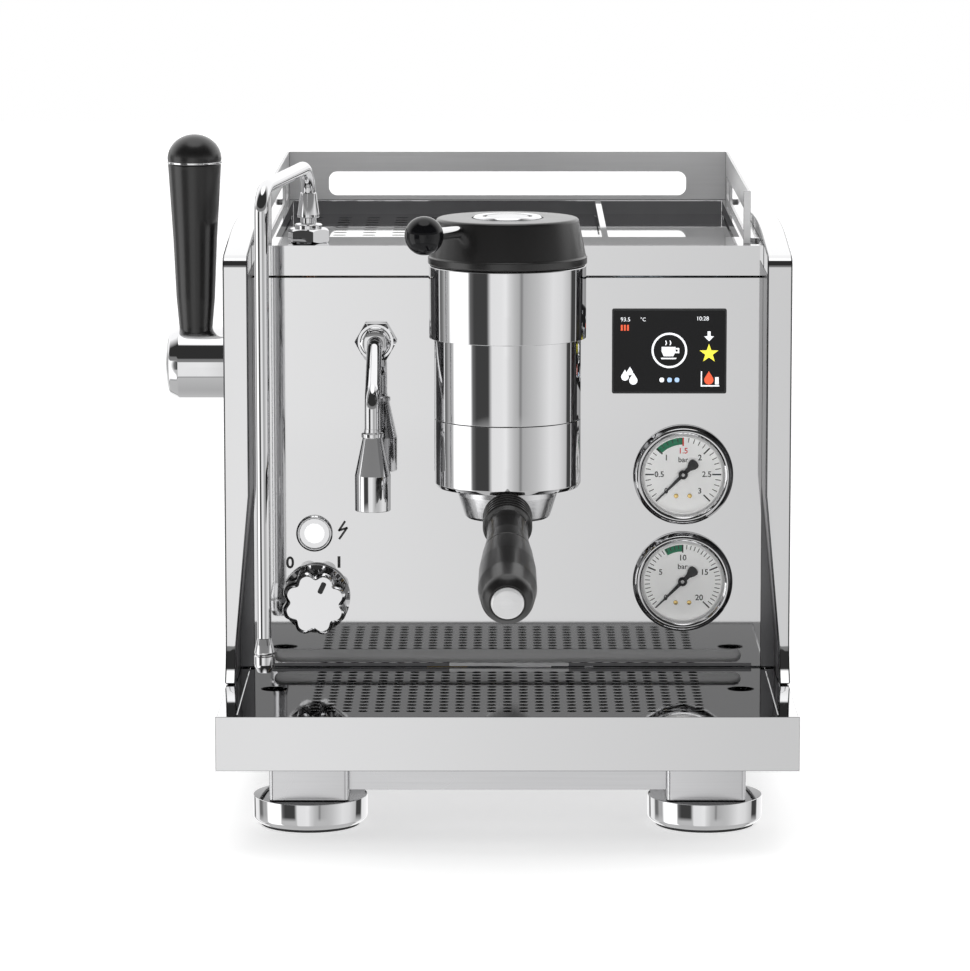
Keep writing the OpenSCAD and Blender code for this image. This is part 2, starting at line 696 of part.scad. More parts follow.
module wand_pipe() color("gainsboro") to_origin() {
    top_back = deck_z + 50;
    pipe([[wand_at[0], wand_at[1], deck_z + 1], [wand_at[0], wand_at[1], top_back],
        [wand_drop[0], wand_drop[1], top_back - 4],
        [wand_drop[0], wand_drop[1], wand_joint_z + 8]], wand_d / 2, 17);
    translate([wand_at[0], wand_at[1], deck_z + 12.4]) cylinder(h = 4, r = 5.2);
    translate([wand_at[0], wand_at[1], deck_z + 16]) cylinder(h = 16, r1 = 7.2, r2 = 5.4);
    translate([wand_drop[0], wand_drop[1], wand_joint_z])
        cylinder(h = 10, r1 = 6.6, r2 = wand_d / 2);
}

module wand_tip() color("gainsboro") to_origin()
    translate([wand_drop[0], wand_drop[1], wand_joint_z - 12]) difference() {
        union() {
            cylinder(h = 4, r1 = 4.5, r2 = 6.6);
            translate([0, 0, 4]) cylinder(h = 8, r = 6.6);
        }
        for (a = [45:90:315]) rotate(a) translate([2.4, 0, -1]) cylinder(h = 5, r = 0.7);
    }

module spout_nut() color("gainsboro") to_origin() difference() {
    union() {
        translate([spout_at[0], panel_y, spout_at[1]]) rotate([90, 30, 0]) hex(23.6, 9);
        rod_y(spout_at, panel_y - 11, panel_y - 1, 10);
        rod_y(spout_at, panel_y - 1, panel_y + 12, 8.4);
    }
    rod_y(spout_at, panel_y - 20, panel_y + 20, 5.05);
}

// Swivelling spout: pipe, collar, cone and outlet
module hot_water_spout() color("gainsboro") to_origin() {
    outlet = [spout_at[0], group_y + 8];
    difference() {
        union() {
            pipe([[spout_at[0], panel_y + 8, spout_at[1]], [spout_at[0], panel_y - 40, spout_at[1]],
                [outlet[0], outlet[1], spout_at[1] - 26], [outlet[0], outlet[1], spout_at[1] - 50]],
                5, 16);
            translate([spout_at[0], panel_y - 11.4, spout_at[1]]) rotate([90, 0, 0])
                hex(17, 7);
            translate([outlet[0], outlet[1], rim_z + 163]) cylinder(h = 3, r = 7);
            translate([outlet[0], outlet[1], rim_z + 140]) cylinder(h = 23.5, r1 = 11.3, r2 = 6);
            translate([outlet[0], outlet[1], rim_z + 117]) cylinder(h = 23, r = 11.3);
        }
        translate([outlet[0], outlet[1], rim_z + 116]) cylinder(h = 20, r = 9.5);
    }
}

// Touch display in its shallow bezel, with the housing behind the panel
module display_unit() color([0.04, 0.04, 0.05]) to_origin() {
    sheet_y(panel_y - 1.6, 1.6) translate(display_at) rounded(display_w, display_h, 3);
    sheet_y(panel_y, 18) translate(display_at) rounded(display_w - 7, display_h - 7, 2);
}

module at_gauges() for (at = [steam_gauge_at, pump_gauge_at])
    translate([at[0], panel_y, at[1]]) rotate([90, 0, 0]) children();

// Gauge cases with their dials; the spindle stands out of each dial
module gauge_cases() color("white") to_origin() at_gauges() {
    translate([0, 0, -30]) difference() {
        cylinder(h = 30, r = gauge_d / 2 - 4);
        translate([0, 0, -1]) cylinder(h = 29, r = gauge_d / 2 - 5.5);
    }
    cylinder(h = 1, r = gauge_d / 2 - 6.5);
    translate([0, 0, 0.5]) cylinder(h = 3.2, r = 1);
}

module gauge_bezels() color("gainsboro") to_origin() at_gauges() rotate_extrude()
    difference() {
        union() {
            translate([gauge_d / 2 - 6.5, 0]) square([6.5, 4]);
            translate([gauge_d / 2 - 4.5, 4]) circle(4.5);
        }
        translate([gauge_d / 2 - 12, -10]) square([30, 10]);
        translate([0, -10]) square([gauge_d / 2 - 6.2, 30]);
    }

module gauge_glasses() color([0.8, 0.9, 0.95, 0.3]) to_origin() at_gauges()
    translate([0, 0, 5]) cylinder(h = 1.5, r = gauge_d / 2 - 6.2);

// Needle seen from the front, pointing at zero, 135 degrees left of the top
module needle() rotate([90, 0, 0]) translate([0, 0, 1.8]) linear_extrude(0.8) rotate(135)
    difference() {
        union() {
            circle(3.2);
            polygon([[-1, -8], [1, -8], [0.4, 21], [-0.4, 21]]);
            translate([0, -8]) circle(2);
        }
        circle(1.05);
    }

module steam_needle() color("black") to_origin()
    translate([steam_gauge_at[0], panel_y, steam_gauge_at[1]]) needle();

module pump_needle() color("black") to_origin()
    translate([pump_gauge_at[0], panel_y, pump_gauge_at[1]]) needle();

module power_lamp() color("white") to_origin() translate([lamp_at[0], panel_y, lamp_at[1]])
    rotate([90, 0, 0]) {
        tube(12, 7, 3);
        translate([0, 0, -14]) cylinder(h = 15, r = 7);
    }

module power_switch() color("dimgray") to_origin() difference() {
    union() {
        rod_y(knob_at, panel_y - 1, panel_y + 10, 7.8);
        block([knob_at[0] - 16, panel_y + 10, knob_at[1] - 16],
            [knob_at[0] + 16, panel_y + 42, knob_at[1] + 16]);
    }
    rod_y(knob_at, panel_y - 2, panel_y + 8, 3.05);
}

// Lobed power knob with its pointer slot, turned to "on"
module power_knob() color("gainsboro") to_origin()
    translate([knob_at[0], panel_y - 1.4, knob_at[1]]) rotate([90, knob_angle, 0]) {
        difference() {
            cylinder(h = 24, r = knob_d / 2);
            for (i = [0:7]) rotate(22.5 + i * 45) translate([knob_d / 2 + 5.8, 0, 5])
                cylinder(h = 30, r = 9);
            translate([-1.75, 10, 22.5]) cube([3.5, 8, 5]);
        }
        translate([0, 0, -8]) cylinder(h = 9, r = 3);
    }

// Drip tray: basin, folded rim and the front plate
module drip_tray() color("silver") to_origin() difference() {
    union() {
        block([-cheek_x + 1, front_y + 2, tray_bottom],
            [cheek_x - 1, front_y + tray_depth, rim_z]);
        block([-cheek_x + 0.2, front_y, tray_bottom], [cheek_x - 0.2, front_y + 2, rim_z]);
    }
    block([-cheek_x + 13, front_y + 7, rim_z - 2], [cheek_x - 13, front_y + tray_depth - 1, rim_z + 1]);
    block([-cheek_x + 16, front_y + 10, tray_bottom + 1.5],
        [cheek_x - 16, front_y + tray_depth - 4, rim_z + 1]);
    block([-cheek_x + 2.5, front_y + 3.5, tray_bottom - 1],
        [-cheek_x + 14.5, front_y + tray_depth - 1.5, rim_z - 1.5]);
    block([cheek_x - 14.5, front_y + 3.5, tray_bottom - 1],
        [cheek_x - 2.5, front_y + tray_depth - 1.5, rim_z - 1.5]);
}

// Perforated grate with two finger holes
module drip_grate() color("gainsboro") to_origin() translate([0, 0, rim_z - 2])
    linear_extrude(1.8) difference() {
        translate([-cheek_x + 13.6, front_y + 7.5])
            square([body_w - 27.2, tray_depth - 9.1]);
        for (i = [-12:12], j = [0:13])
            translate([i * hole_pitch, front_y + 20 + j * hole_pitch]) circle(hole_d / 2, $fn = 24);
        for (x = [-148.6, 148.6]) translate([x, front_y + 93.4]) circle(8.5);
    }

// Mains inlet socket in the back panel, with its three pins
module power_inlet() color("black") to_origin() {
    difference() {
        union() {
            block([inlet_at[0] - 13.9, back_y - 30, inlet_at[1] - 10.1],
                [inlet_at[0] + 13.9, back_y, inlet_at[1] + 10.1]);
            sheet_y(back_y, 2.5) translate(inlet_at) rounded(50, 24, 5);
        }
        block([inlet_at[0] - 12, back_y - 16, inlet_at[1] - 8],
            [inlet_at[0] + 12, back_y + 5, inlet_at[1] + 8]);
    }
    for (x = [-7, 0, 7]) block([inlet_at[0] + x - 1, back_y - 17, inlet_at[1] + (x == 0 ? 0 : -4)],
        [inlet_at[0] + x + 1, back_y - 9, inlet_at[1] + (x == 0 ? 4 : 0)]);
}

// Mains water inlet under the chassis: a G 3/8 stub on a nut
module water_inlet() color("goldenrod") to_origin() translate([water_at[0], water_at[1], 0])
    difference() {
        union() {
            translate([0, 0, 32]) cylinder(h = 13, r = water_r);
            translate([0, 0, 44]) cylinder(h = 10, r = 7.8);
            translate([0, 0, chassis_top]) hex(22, 8);
        }
        translate([0, 0, 31]) cylinder(h = 26, r = 6);
    }

// Button-head screws
module screw() {
    cylinder(h = 2, r1 = 3.6, r2 = 3);
    translate([0, 0, -screw_h]) cylinder(h = screw_h, r = screw_r);
}

module panel_screws() color("silver") to_origin() at_screws() screw();

base_frame();
foot_blocks();
foot_cups();
foot_pads();
left_cheek();
right_cheek();
front_panel();
back_panel();
top_cover();
cup_plate();
tank_lid();
water_tank();
cup_rail();
group_body();
group_upper_cover();
group_sleeve();
group_collar();
group_gasket();
shower_screen();
paddle_cap();
paddle_stem();
paddle_ball();
portafilter_bowl();
filter_basket();
portafilter_handle();
handle_end_cap();
portafilter_spout();
brew_boiler();
steam_boiler();
safety_valve();
gear_pump();
pump_motor();
pump_coupling();
solenoid_valves();
control_box();
pipes();
steam_valve_body();
steam_valve_stem();
lever_hub();
lever_handle();
lever_ring();
wand_nut();
wand_pipe();
wand_tip();
spout_nut();
hot_water_spout();
display_unit();
gauge_cases();
gauge_bezels();
gauge_glasses();
steam_needle();
pump_needle();
power_lamp();
power_switch();
power_knob();
drip_tray();
drip_grate();
power_inlet();
water_inlet();
panel_screws();
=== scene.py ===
"""Looks for the espresso machine: camera, studio, materials and finished pieces around the CAD frame."""
import json
import math

import bmesh
import bpy
from mathutils import Matrix, Vector


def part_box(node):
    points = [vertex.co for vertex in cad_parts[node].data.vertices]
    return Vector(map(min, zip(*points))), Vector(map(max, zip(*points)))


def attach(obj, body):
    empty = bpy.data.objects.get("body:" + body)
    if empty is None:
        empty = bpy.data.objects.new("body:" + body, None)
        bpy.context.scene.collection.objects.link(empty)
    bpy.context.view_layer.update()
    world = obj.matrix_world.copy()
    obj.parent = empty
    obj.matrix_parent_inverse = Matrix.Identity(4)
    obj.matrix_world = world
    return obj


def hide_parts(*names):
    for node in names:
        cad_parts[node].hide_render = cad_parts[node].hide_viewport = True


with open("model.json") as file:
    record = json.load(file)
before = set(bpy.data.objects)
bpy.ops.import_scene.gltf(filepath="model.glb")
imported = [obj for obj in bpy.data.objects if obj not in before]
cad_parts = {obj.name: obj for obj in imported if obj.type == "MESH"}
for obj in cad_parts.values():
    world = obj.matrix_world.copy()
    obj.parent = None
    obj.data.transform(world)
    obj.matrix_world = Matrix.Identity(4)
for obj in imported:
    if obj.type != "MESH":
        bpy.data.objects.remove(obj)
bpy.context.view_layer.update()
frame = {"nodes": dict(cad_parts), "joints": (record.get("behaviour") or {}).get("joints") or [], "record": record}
MM = 0.001
SLOTS = {s["node"]: s["material_slot"] for s in frame["record"]["subparts"]}

# ---------------------------------------------------------------- places, from the frame
panel_low, panel_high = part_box("front_panel")
tray_low, tray_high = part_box("drip_tray")
MID_X = (panel_low.x + panel_high.x) / 2
PANEL_Y = panel_low.y
FRONT_Y = tray_low.y
RIM_Z = tray_high.z
DECK_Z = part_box("top_cover")[1].z


def joint(name):
    """Axis point and direction of a joint in the row."""
    found = next(j for j in frame["joints"] if j["name"] == name)
    return Vector(found.get("pos_m", (0, 0, 0))), Vector(found["axis"])


GROUP = joint("paddle_turn")[0]
UP = Vector((0, 0, 1))
FORWARD = Vector((0, -1, 0))
LEFT = Vector((-1, 0, 0))


# ---------------------------------------------------------------- camera and studio
def add_camera():
    """A long lens in front of the machine, a little above it, pitched down."""
    distance = 2.9439
    height = 0.5847
    pitch = math.radians(8.5)
    data = bpy.data.cameras.new("camera")
    data.lens = 179.8
    data.sensor_width = 36
    data.shift_x = -0.0232
    data.clip_end = 50
    cam = bpy.data.objects.new("camera", data)
    cam.location = (MID_X, FRONT_Y - distance, RIM_Z + height)
    cam.rotation_euler = (math.pi / 2 - pitch, 0, 0)
    bpy.context.scene.collection.objects.link(cam)
    bpy.context.scene.camera = cam


def link(tree, a, b):
    """Joins an output to an input."""
    tree.links.new(a, b)


# Brightness of the studio round the machine, as (degrees from the front, level): negative is
# left. Panels and gaps between them draw the bands that polished metal shows.
AROUND = [(-180, 0.95), (-154, 0.85), (-150, 0.1), (-145, 0.1), (-140, 0.9), (-125, 0.8),
          (-120, 0.15), (-112, 0.15), (-106, 0.4), (-97, 0.4), (-91, 1.3), (-61, 1.3),
          (-57, 0.15), (-50, 0.05), (-30, 0.05), (-24, 0.78), (-9, 0.8), (-2.5, 0.85),
          (0, 0.76), (3, 0.67), (10, 0.52), (17, 0.42), (20.5, 0.2), (23.5, 0.4), (46, 0.54),
          (70, 0.77), (87, 0.72), (105, 0.5), (108, 0.05), (124, 0.05), (129, 0.8), (180, 0.95)]
# The same from straight down to straight overhead, in front of the machine: the table, a dark
# gap, the walls, a dark canopy and the light above it
UPWARD = [(-90, 0.42), (-42, 0.5), (-40, 0.12), (-38, 0.12), (-36.5, 0.8), (-10, 0.8), (7, 0.8),
          (10, 0.22), (18, 0.2), (21, 0.03), (64, 0.03), (70, 1.3), (90, 1.3)]
# Light of the whole studio
STUDIO_LEVEL = 1.3
# Height at which the table's front edge shows, and the share of the light that it leaves
TABLE_EDGE = -0.137
TABLE_SHADE = 0.97
# Where one part of the studio passes into the next, as coordinates of the view's direction:
# the table's side edges, the gaps' filling, the table, the canopy, and the white rear
TABLE_SIDE = (0.1, 0.07)
GAPS_FILL = (-0.225, -0.26)
TABLE_TOP = (-0.58, -0.66)
CANOPY = (0.13, 0.165)
REAR = (-0.1, 0.35)


def ramp(tree, points, low, high):
    """Colour ramp over points given between low and high."""
    node = tree.nodes.new("ShaderNodeValToRGB")
    node.color_ramp.interpolation = "LINEAR"
    elements = node.color_ramp.elements
    for i, (at, level) in enumerate(points):
        place = (at - low) / (high - low)
        item = elements[i] if i < 2 else elements.new(place)
        item.position = place
        item.color = (level, level, level, 1)
    return node


def feed(tree, socket, value):
    """Sets a socket to a number, or links it to an output."""
    if isinstance(value, (int, float)):
        socket.default_value = value
    else:
        link(tree, value, socket)


def math_node(tree, operation, a, b=None):
    """Output of a maths node over numbers or outputs."""
    node = tree.nodes.new("ShaderNodeMath")
    node.operation = operation
    feed(tree, node.inputs[0], a)
    if b is not None:
        feed(tree, node.inputs[1], b)
    return node.outputs[0]


def step_node(tree, value, low, high):
    """0 at low and 1 at high, clamped; low may be the larger."""
    node = tree.nodes.new("ShaderNodeMapRange")
    link(tree, value, node.inputs[0])
    node.inputs[1].default_value = low
    node.inputs[2].default_value = high
    return node.outputs[0]


def mix_value(tree, factor, a, b):
    """Between a and b by the factor."""
    node = tree.nodes.new("ShaderNodeMix")
    node.data_type = "FLOAT"
    link(tree, factor, node.inputs[0])
    feed(tree, node.inputs[2], a)
    feed(tree, node.inputs[3], b)
    return node.outputs[0]


def add_world():
    """White studio whose walls are light panels with dark gaps between them."""
    world = bpy.data.worlds.new("studio")
    bpy.context.scene.world = world
    world.use_nodes = True
    tree = world.node_tree
    tree.nodes.clear()
    coords = tree.nodes.new("ShaderNodeTexCoord")
    split = tree.nodes.new("ShaderNodeSeparateXYZ")
    link(tree, coords.outputs["Generated"], split.inputs[0])
    x, y, z = split.outputs
    turn = math_node(tree, "ARCTAN2", x, math_node(tree, "MULTIPLY", y, -1.0))
    turn = math_node(tree, "ADD", math_node(tree, "MULTIPLY", turn, 0.5 / math.pi), 0.5)
    around = ramp(tree, AROUND, -180, 180)
    link(tree, turn, around.inputs[0])
    height = math_node(tree, "MULTIPLY", math_node(tree, "ARCSINE", z), 1 / math.pi)
    height = math_node(tree, "ADD", height, 0.5)
    upward = ramp(tree, UPWARD, -90, 90)
    link(tree, height, upward.inputs[0])
    # The walls' bands show between two heights; above them the rear stays white
    rear = step_node(tree, y, *REAR)
    above = mix_value(tree, rear, upward.outputs[0], 1.0)
    walls = around.outputs[0]
    edge = math_node(tree, "MULTIPLY", step_node(tree, z, TABLE_EDGE + 0.004, TABLE_EDGE - 0.004),
                     step_node(tree, math_node(tree, "ABSOLUTE", x), *TABLE_SIDE))
    walls = math_node(tree, "MULTIPLY", walls, mix_value(tree, edge, 1.0, TABLE_SHADE))
    # Lower down, the gaps between the panels fill with light from the table
    filled = math_node(tree, "MAXIMUM", walls, 0.5)
    walls = mix_value(tree, step_node(tree, z, *GAPS_FILL), walls, filled)
    level = mix_value(tree, step_node(tree, z, *CANOPY), walls, above)
    level = mix_value(tree, step_node(tree, z, *TABLE_TOP), level, upward.outputs[0])
    room = tree.nodes.new("ShaderNodeBackground")
    room.inputs["Color"].default_value = (1, 1, 1, 1)
    link(tree, math_node(tree, "MULTIPLY", level, STUDIO_LEVEL), room.inputs["Strength"])
    seen = tree.nodes.new("ShaderNodeBackground")
    seen.inputs["Color"].default_value = (1, 1, 1, 1)
    seen.inputs["Strength"].default_value = 1.0
    path = tree.nodes.new("ShaderNodeLightPath")
    mix = tree.nodes.new("ShaderNodeMixShader")
    link(tree, path.outputs["Is Camera Ray"], mix.inputs[0])
    link(tree, room.outputs[0], mix.inputs[1])
    link(tree, seen.outputs[0], mix.inputs[2])
    out = tree.nodes.new("ShaderNodeOutputWorld")
    link(tree, mix.outputs[0], out.inputs[0])


def add_light(name, place, aim, size, power):
    """Soft area light that the polished metal doesn't mirror."""
    data = bpy.data.lights.new(name, "AREA")
    data.shape = "RECTANGLE"
    data.size, data.size_y = size
    data.energy = power
    lamp = bpy.data.objects.new(name, data)
    lamp.location = place
    lamp.rotation_euler = (Vector(place) - Vector(aim)).to_track_quat("Z", "Y").to_euler()
    lamp.visible_glossy = False
    bpy.context.scene.collection.objects.link(lamp)


def add_floor():
    """Plain white table, wide enough for every view."""
    mesh = bpy.data.meshes.new("floor")
    half = 6.0
    mesh.from_pydata([(-half, -half, 0), (half, -half, 0), (half, half, 0), (-half, half, 0)],
                     [], [(0, 1, 2, 3)])
    floor = bpy.data.objects.new("floor", mesh)
    bpy.context.scene.collection.objects.link(floor)
    mat = bpy.data.materials.new("floor_white")
    mat.use_nodes = True
    shader = mat.node_tree.nodes["Principled BSDF"]
    shader.inputs["Base Color"].default_value = (0.9, 0.9, 0.9, 1)
    shader.inputs["Roughness"].default_value = 0.9
    shader.inputs["Specular IOR Level"].default_value = 0.1
    shader.inputs["Emission Color"].default_value = (1, 1, 1, 1)
    shader.inputs["Emission Strength"].default_value = 0.5
    mesh.materials.append(mat)
    floor.visible_glossy = False


# ---------------------------------------------------------------- materials
def surface(name, colour, metallic=0.0, rough=0.3, spread=0.04, scale=60, bump=0.02,
            stretch=(1, 1, 1), tone=0.06, detail=6, **sockets):
    """Principled material whose colour, gloss and relief all vary with a fine grain."""
    mat = bpy.data.materials.new(name)
    mat.use_nodes = True
    tree = mat.node_tree
    shader = tree.nodes["Principled BSDF"]
    coords = tree.nodes.new("ShaderNodeTexCoord")
    place = tree.nodes.new("ShaderNodeMapping")
    place.inputs["Scale"].default_value = [s * scale for s in stretch]
    link(tree, coords.outputs["Object"], place.inputs[0])
    grain = tree.nodes.new("ShaderNodeTexNoise")
    grain.inputs["Scale"].default_value = 1.0
    grain.inputs["Detail"].default_value = detail
    link(tree, place.outputs[0], grain.inputs["Vector"])
    cloud = tree.nodes.new("ShaderNodeTexNoise")
    cloud.inputs["Scale"].default_value = 9.0
    cloud.inputs["Detail"].default_value = 3.0
    link(tree, coords.outputs["Object"], cloud.inputs["Vector"])
    gloss = tree.nodes.new("ShaderNodeMapRange")
    gloss.inputs[3].default_value = max(0.0, rough - spread)
    gloss.inputs[4].default_value = rough + spread
    link(tree, cloud.outputs["Fac"], gloss.inputs[0])
    link(tree, gloss.outputs[0], shader.inputs["Roughness"])
    paint = tree.nodes.new("ShaderNodeMix")
    paint.data_type = "RGBA"
    paint.inputs[6].default_value = [c * (1 - tone) for c in colour[:3]] + [1]
    paint.inputs[7].default_value = [min(1, c * (1 + tone)) for c in colour[:3]] + [1]
    link(tree, grain.outputs["Fac"], paint.inputs[0])
    link(tree, paint.outputs[2], shader.inputs["Base Color"])
    relief = tree.nodes.new("ShaderNodeBump")
    relief.inputs["Strength"].default_value = bump
    relief.inputs["Distance"].default_value = 0.0004
    link(tree, grain.outputs["Fac"], relief.inputs["Height"])
    link(tree, relief.outputs[0], shader.inputs["Normal"])
    shader.inputs["Metallic"].default_value = metallic
    for key, value in sockets.items():
        shader.inputs[key.replace("_", " ")].default_value = value
    return mat


STEEL = surface("polished_steel", (0.68, 0.68, 0.685), 1.0, 0.035, 0.012, 3, 0.015, tone=0.01,
                detail=2)
CHROME = surface("chrome", (0.72, 0.72, 0.728), 1.0, 0.025, 0.01, 40, 0.004, tone=0.01)
SATIN = surface("satin_steel", (0.66, 0.66, 0.67), 1.0, 0.28, 0.05, 90, 0.12,
                stretch=(0.15, 0.15, 8))
SHEET = surface("satin_sheet", (0.70, 0.70, 0.71), 1.0, 0.24, 0.05, 90, 0.10,
                stretch=(0.2, 6, 6))
RAIL = surface("rail_steel", (0.72, 0.72, 0.725), 0.3, 0.3, 0.05, 90, 0.08, stretch=(0.2, 6, 6))
# Dark steel for the rounded edges of the folded and cast nodes: painted shade along their edges
EDGE_SHADE = surface("edge_shade_steel", (0.13, 0.13, 0.135), 1.0, 0.12, 0.03, 40, 0.01)
# Dark copy of the chrome, painted shade on the feet's tops and the knob's flanks
SHADED_CHROME = surface("shaded_chrome", (0.2, 0.2, 0.205), 1.0, 0.06, 0.02, 40, 0.004)
# Dark copy of the steel, painted shade on the slot's sill, the recess's rear and the cheeks' inner walls
SHADED_STEEL = surface("shaded_steel", (0.16, 0.16, 0.165), 1.0, 0.3, 0.05, 90, 0.08)
BLACK_SATIN = surface("satin_black", (0.011, 0.0105, 0.0105), 0, 0.3, 0.05, 900, 0.08, tone=0.15,
                      Coat_Weight=0.3, Coat_Roughness=0.18)
BLACK_GLOSS = surface("gloss_black", (0.005, 0.005, 0.006), 0, 0.06, 0.02, 300, 0.01,
                      Specular_IOR_Level=0.3)
BLACK_PAINT = surface("black_enamel", (0.03, 0.03, 0.032), 0, 0.38, 0.05, 700, 0.06)
RUBBER = surface("rubber", (0.025, 0.025, 0.026), 0, 0.72, 0.08, 500, 0.3, tone=0.2)
BRASS = surface("brass", (0.78, 0.58, 0.25), 1.0, 0.26, 0.06, 120, 0.12, stretch=(1, 1, 6))
COPPER = surface("copper", (0.86, 0.47, 0.31), 1.0, 0.24, 0.07, 70, 0.10, tone=0.12)
MOTOR = surface("motor_grey", (0.11, 0.115, 0.12), 0.2, 0.48, 0.08, 400, 0.2, tone=0.15)
TANK = surface("clear_plastic", (0.85, 0.90, 0.95), 0, 0.16, 0.04, 60, 0.04,
               Transmission_Weight=0.75, IOR=1.45)
GLASS = surface("gauge_glass", (0.98, 0.99, 1.0), 0, 0.02, 0.01, 40, 0.002,
                Transmission_Weight=1.0, IOR=1.05, Alpha=0.1)
# The dial's white glows faintly (emission 0.1): painted light, since the dial is no lamp
DIAL = surface("dial_white", (0.92, 0.92, 0.91), 0, 0.45, 0.06, 500, 0.04, tone=0.03,
               Emission_Color=(1, 1, 1, 1), Emission_Strength=0.1)
GREEN = surface("dial_green", (0.015, 0.23, 0.11), 0, 0.45, 0.05, 500, 0.05)
RED = surface("dial_red", (0.75, 0.05, 0.04), 0, 0.45, 0.05, 500, 0.05)
INK = surface("dial_ink", (0.05, 0.05, 0.05), 0, 0.5, 0.05, 500, 0.05)


def glow(name, colour, strength):
    """Lit print on the display or the lamp's lens."""
    return surface(name, colour, 0, 0.3, 0.05, 300, 0.02, Emission_Color=(*colour, 1),
                   Emission_Strength=strength)


LIT_WHITE = glow("lit_white", (0.9, 0.92, 0.95), 0.75)
LIT_YELLOW = glow("lit_yellow", (0.95, 0.85, 0.06), 0.7)
LIT_RED = glow("lit_red", (0.9, 0.12, 0.04), 0.6)
LIT_BLUE = glow("lit_blue", (0.45, 0.65, 0.95), 0.6)
LENS = glow("lamp_lens", (1.0, 1.0, 1.0), 0.9)
SCREEN = surface("display_glass", (0.008, 0.008, 0.009), 0, 0.12, 0.02, 200, 0.01,
                 Specular_IOR_Level=0.22)

FINISH = {
    "polished_steel": STEEL, "chrome": CHROME, "brushed_steel": SATIN,
    "satin_black": BLACK_SATIN, "gloss_black": BLACK_GLOSS, "black_paint": BLACK_PAINT,
    "rubber": RUBBER, "brass": BRASS, "copper": COPPER, "motor_grey": MOTOR,
    "clear_plastic": TANK, "gauge_glass": GLASS, "dial_white": DIAL,
}
# The record's slot that a material stands for
SLOT_OF = {mat.name: slot for slot, mat in FINISH.items()}
SLOT_OF |= {
    "satin_sheet": "chrome", "rail_steel": "brushed_steel", "shaded_steel": "brushed_steel",
    "dial_ink": "black_paint", "dial_red": "black_paint", "dial_green": "dial_white",
    "lamp_lens": "dial_white", "display_glass": "gloss_black", "lit_white": "gloss_black",
    "lit_yellow": "gloss_black", "lit_red": "gloss_black", "lit_blue": "gloss_black",
}


# ---------------------------------------------------------------- mesh helpers
def body_of(node):
    """The body that a CAD node is on."""
    bodies = frame["record"]["behaviour"]["bodies"]
    return next(b for b, members in bodies.items() if node in members)


def add_piece(name, mesh, mat, body="machine", replaces=(), smooth_angle=35):
    """Puts a finished mesh into the scene on its body."""
    mesh.materials.clear()
    mesh.materials.append(mat)
    obj = bpy.data.objects.new(name, mesh)
    bpy.context.scene.collection.objects.link(obj)
    smooth(mesh, smooth_angle)
    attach(obj, body)
    if replaces:
        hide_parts(*replaces)
    return obj


def smooth(mesh, angle):
    """Smooth shading, with edges sharper than the angle kept crisp."""
    work = bmesh.new()
    work.from_mesh(mesh)
    bmesh.ops.recalc_face_normals(work, faces=work.faces)
    for face in work.faces:
        face.smooth = True
    limit = math.radians(angle)
    for edge in work.edges:
        edge.smooth = len(edge.link_faces) == 2 and edge.calc_face_angle(0) < limit
    work.to_mesh(mesh)
    work.free()


def frame_matrix(origin, direction):
    """Matrix that puts local +Z along direction at origin."""
    turn = Vector(direction).normalized().to_track_quat("Z", "Y").to_matrix().to_4x4()
    return Matrix.Translation(origin) @ turn


def bridge(work, low, high):
    """Faces between two rings that have as many vertices."""
    for k in range(len(low)):
        j = (k + 1) % len(low)
        work.faces.new((low[k], low[j], high[j], high[k]))


def meshed(name, work):
    """Mesh made of the work, with its faces turned outwards."""
    mesh = bpy.data.meshes.new(name)
    bmesh.ops.recalc_face_normals(work, faces=work.faces)
    work.to_mesh(mesh)
    work.free()
    return mesh


def lathe_mesh(name, profile, origin, direction=UP, sides=128):
    """Turned solid or shell: profile is a closed or open list of (radius, height) in metres."""
    work = bmesh.new()
    place = frame_matrix(origin, direction)
    rings = []
    for radius, height in profile:
        if radius < 1e-7:
            rings.append([work.verts.new(place @ Vector((0, 0, height)))])
            continue
        rings.append([work.verts.new(place @ Vector((radius * math.cos(a), radius * math.sin(a),
                                                     height)))
                      for a in (2 * math.pi * i / sides for i in range(sides))])
    for low, high in zip(rings, rings[1:]):
        for i in range(sides):
            j = (i + 1) % sides
            corners = [low[i % len(low)], low[j % len(low)], high[j % len(high)],
                       high[i % len(high)]]
            unique = list(dict.fromkeys(corners))
            if len(unique) > 2:
                work.faces.new(unique)
    return meshed(name, work)


def rounded(points, radius, steps=5, closed=True):
    """Profile with its corners rounded; a point may be (x, y, its own radius)."""
    out = []
    count = len(points)
    for i, point in enumerate(points):
        here = Vector(point[:2])
        size = point[2] if len(point) > 2 else radius
        ends = not closed and i in (0, count - 1)
        if ends or size <= 0:
            out.append(tuple(here))
            continue
        before = Vector(points[i - 1][:2]) - here
        after = Vector(points[(i + 1) % count][:2]) - here
        if before.length < 1e-9 or after.length < 1e-9:
            out.append(tuple(here))
            continue
        bend = before.angle(after)
        cut = min(size / max(math.tan(bend / 2), 1e-3), before.length / 2, after.length / 2)
        start = here + before.normalized() * cut
        finish = here + after.normalized() * cut
        for k in range(steps + 1):
            t = k / steps
            out.append(tuple((1 - t) ** 2 * start + 2 * t * (1 - t) * here + t ** 2 * finish))
    return out


def turned(name, profile, mat, body, origin, direction=UP, replaces=(), open_ended=False,
           sides=128, round_by=0.0):
    """Lathe piece from a profile in millimetres, closed unless it starts on the axis."""
    closed = profile[0][0] > 0 and not open_ended
    points = rounded([tuple(v * MM for v in p) for p in profile], round_by * MM, closed=closed)
    if closed:
        points = points + [points[0]]
    mesh = lathe_mesh(name, points, origin, direction, sides)
    clean(mesh)
    return add_piece(name, mesh, mat, body, replaces)


def clean(mesh):
    """Welds doubles and drops faces without area."""
    work = bmesh.new()
    work.from_mesh(mesh)
    bmesh.ops.remove_doubles(work, verts=work.verts, dist=1e-7)
    bmesh.ops.dissolve_degenerate(work, edges=work.edges, dist=1e-7)
    work.to_mesh(mesh)
    work.free()


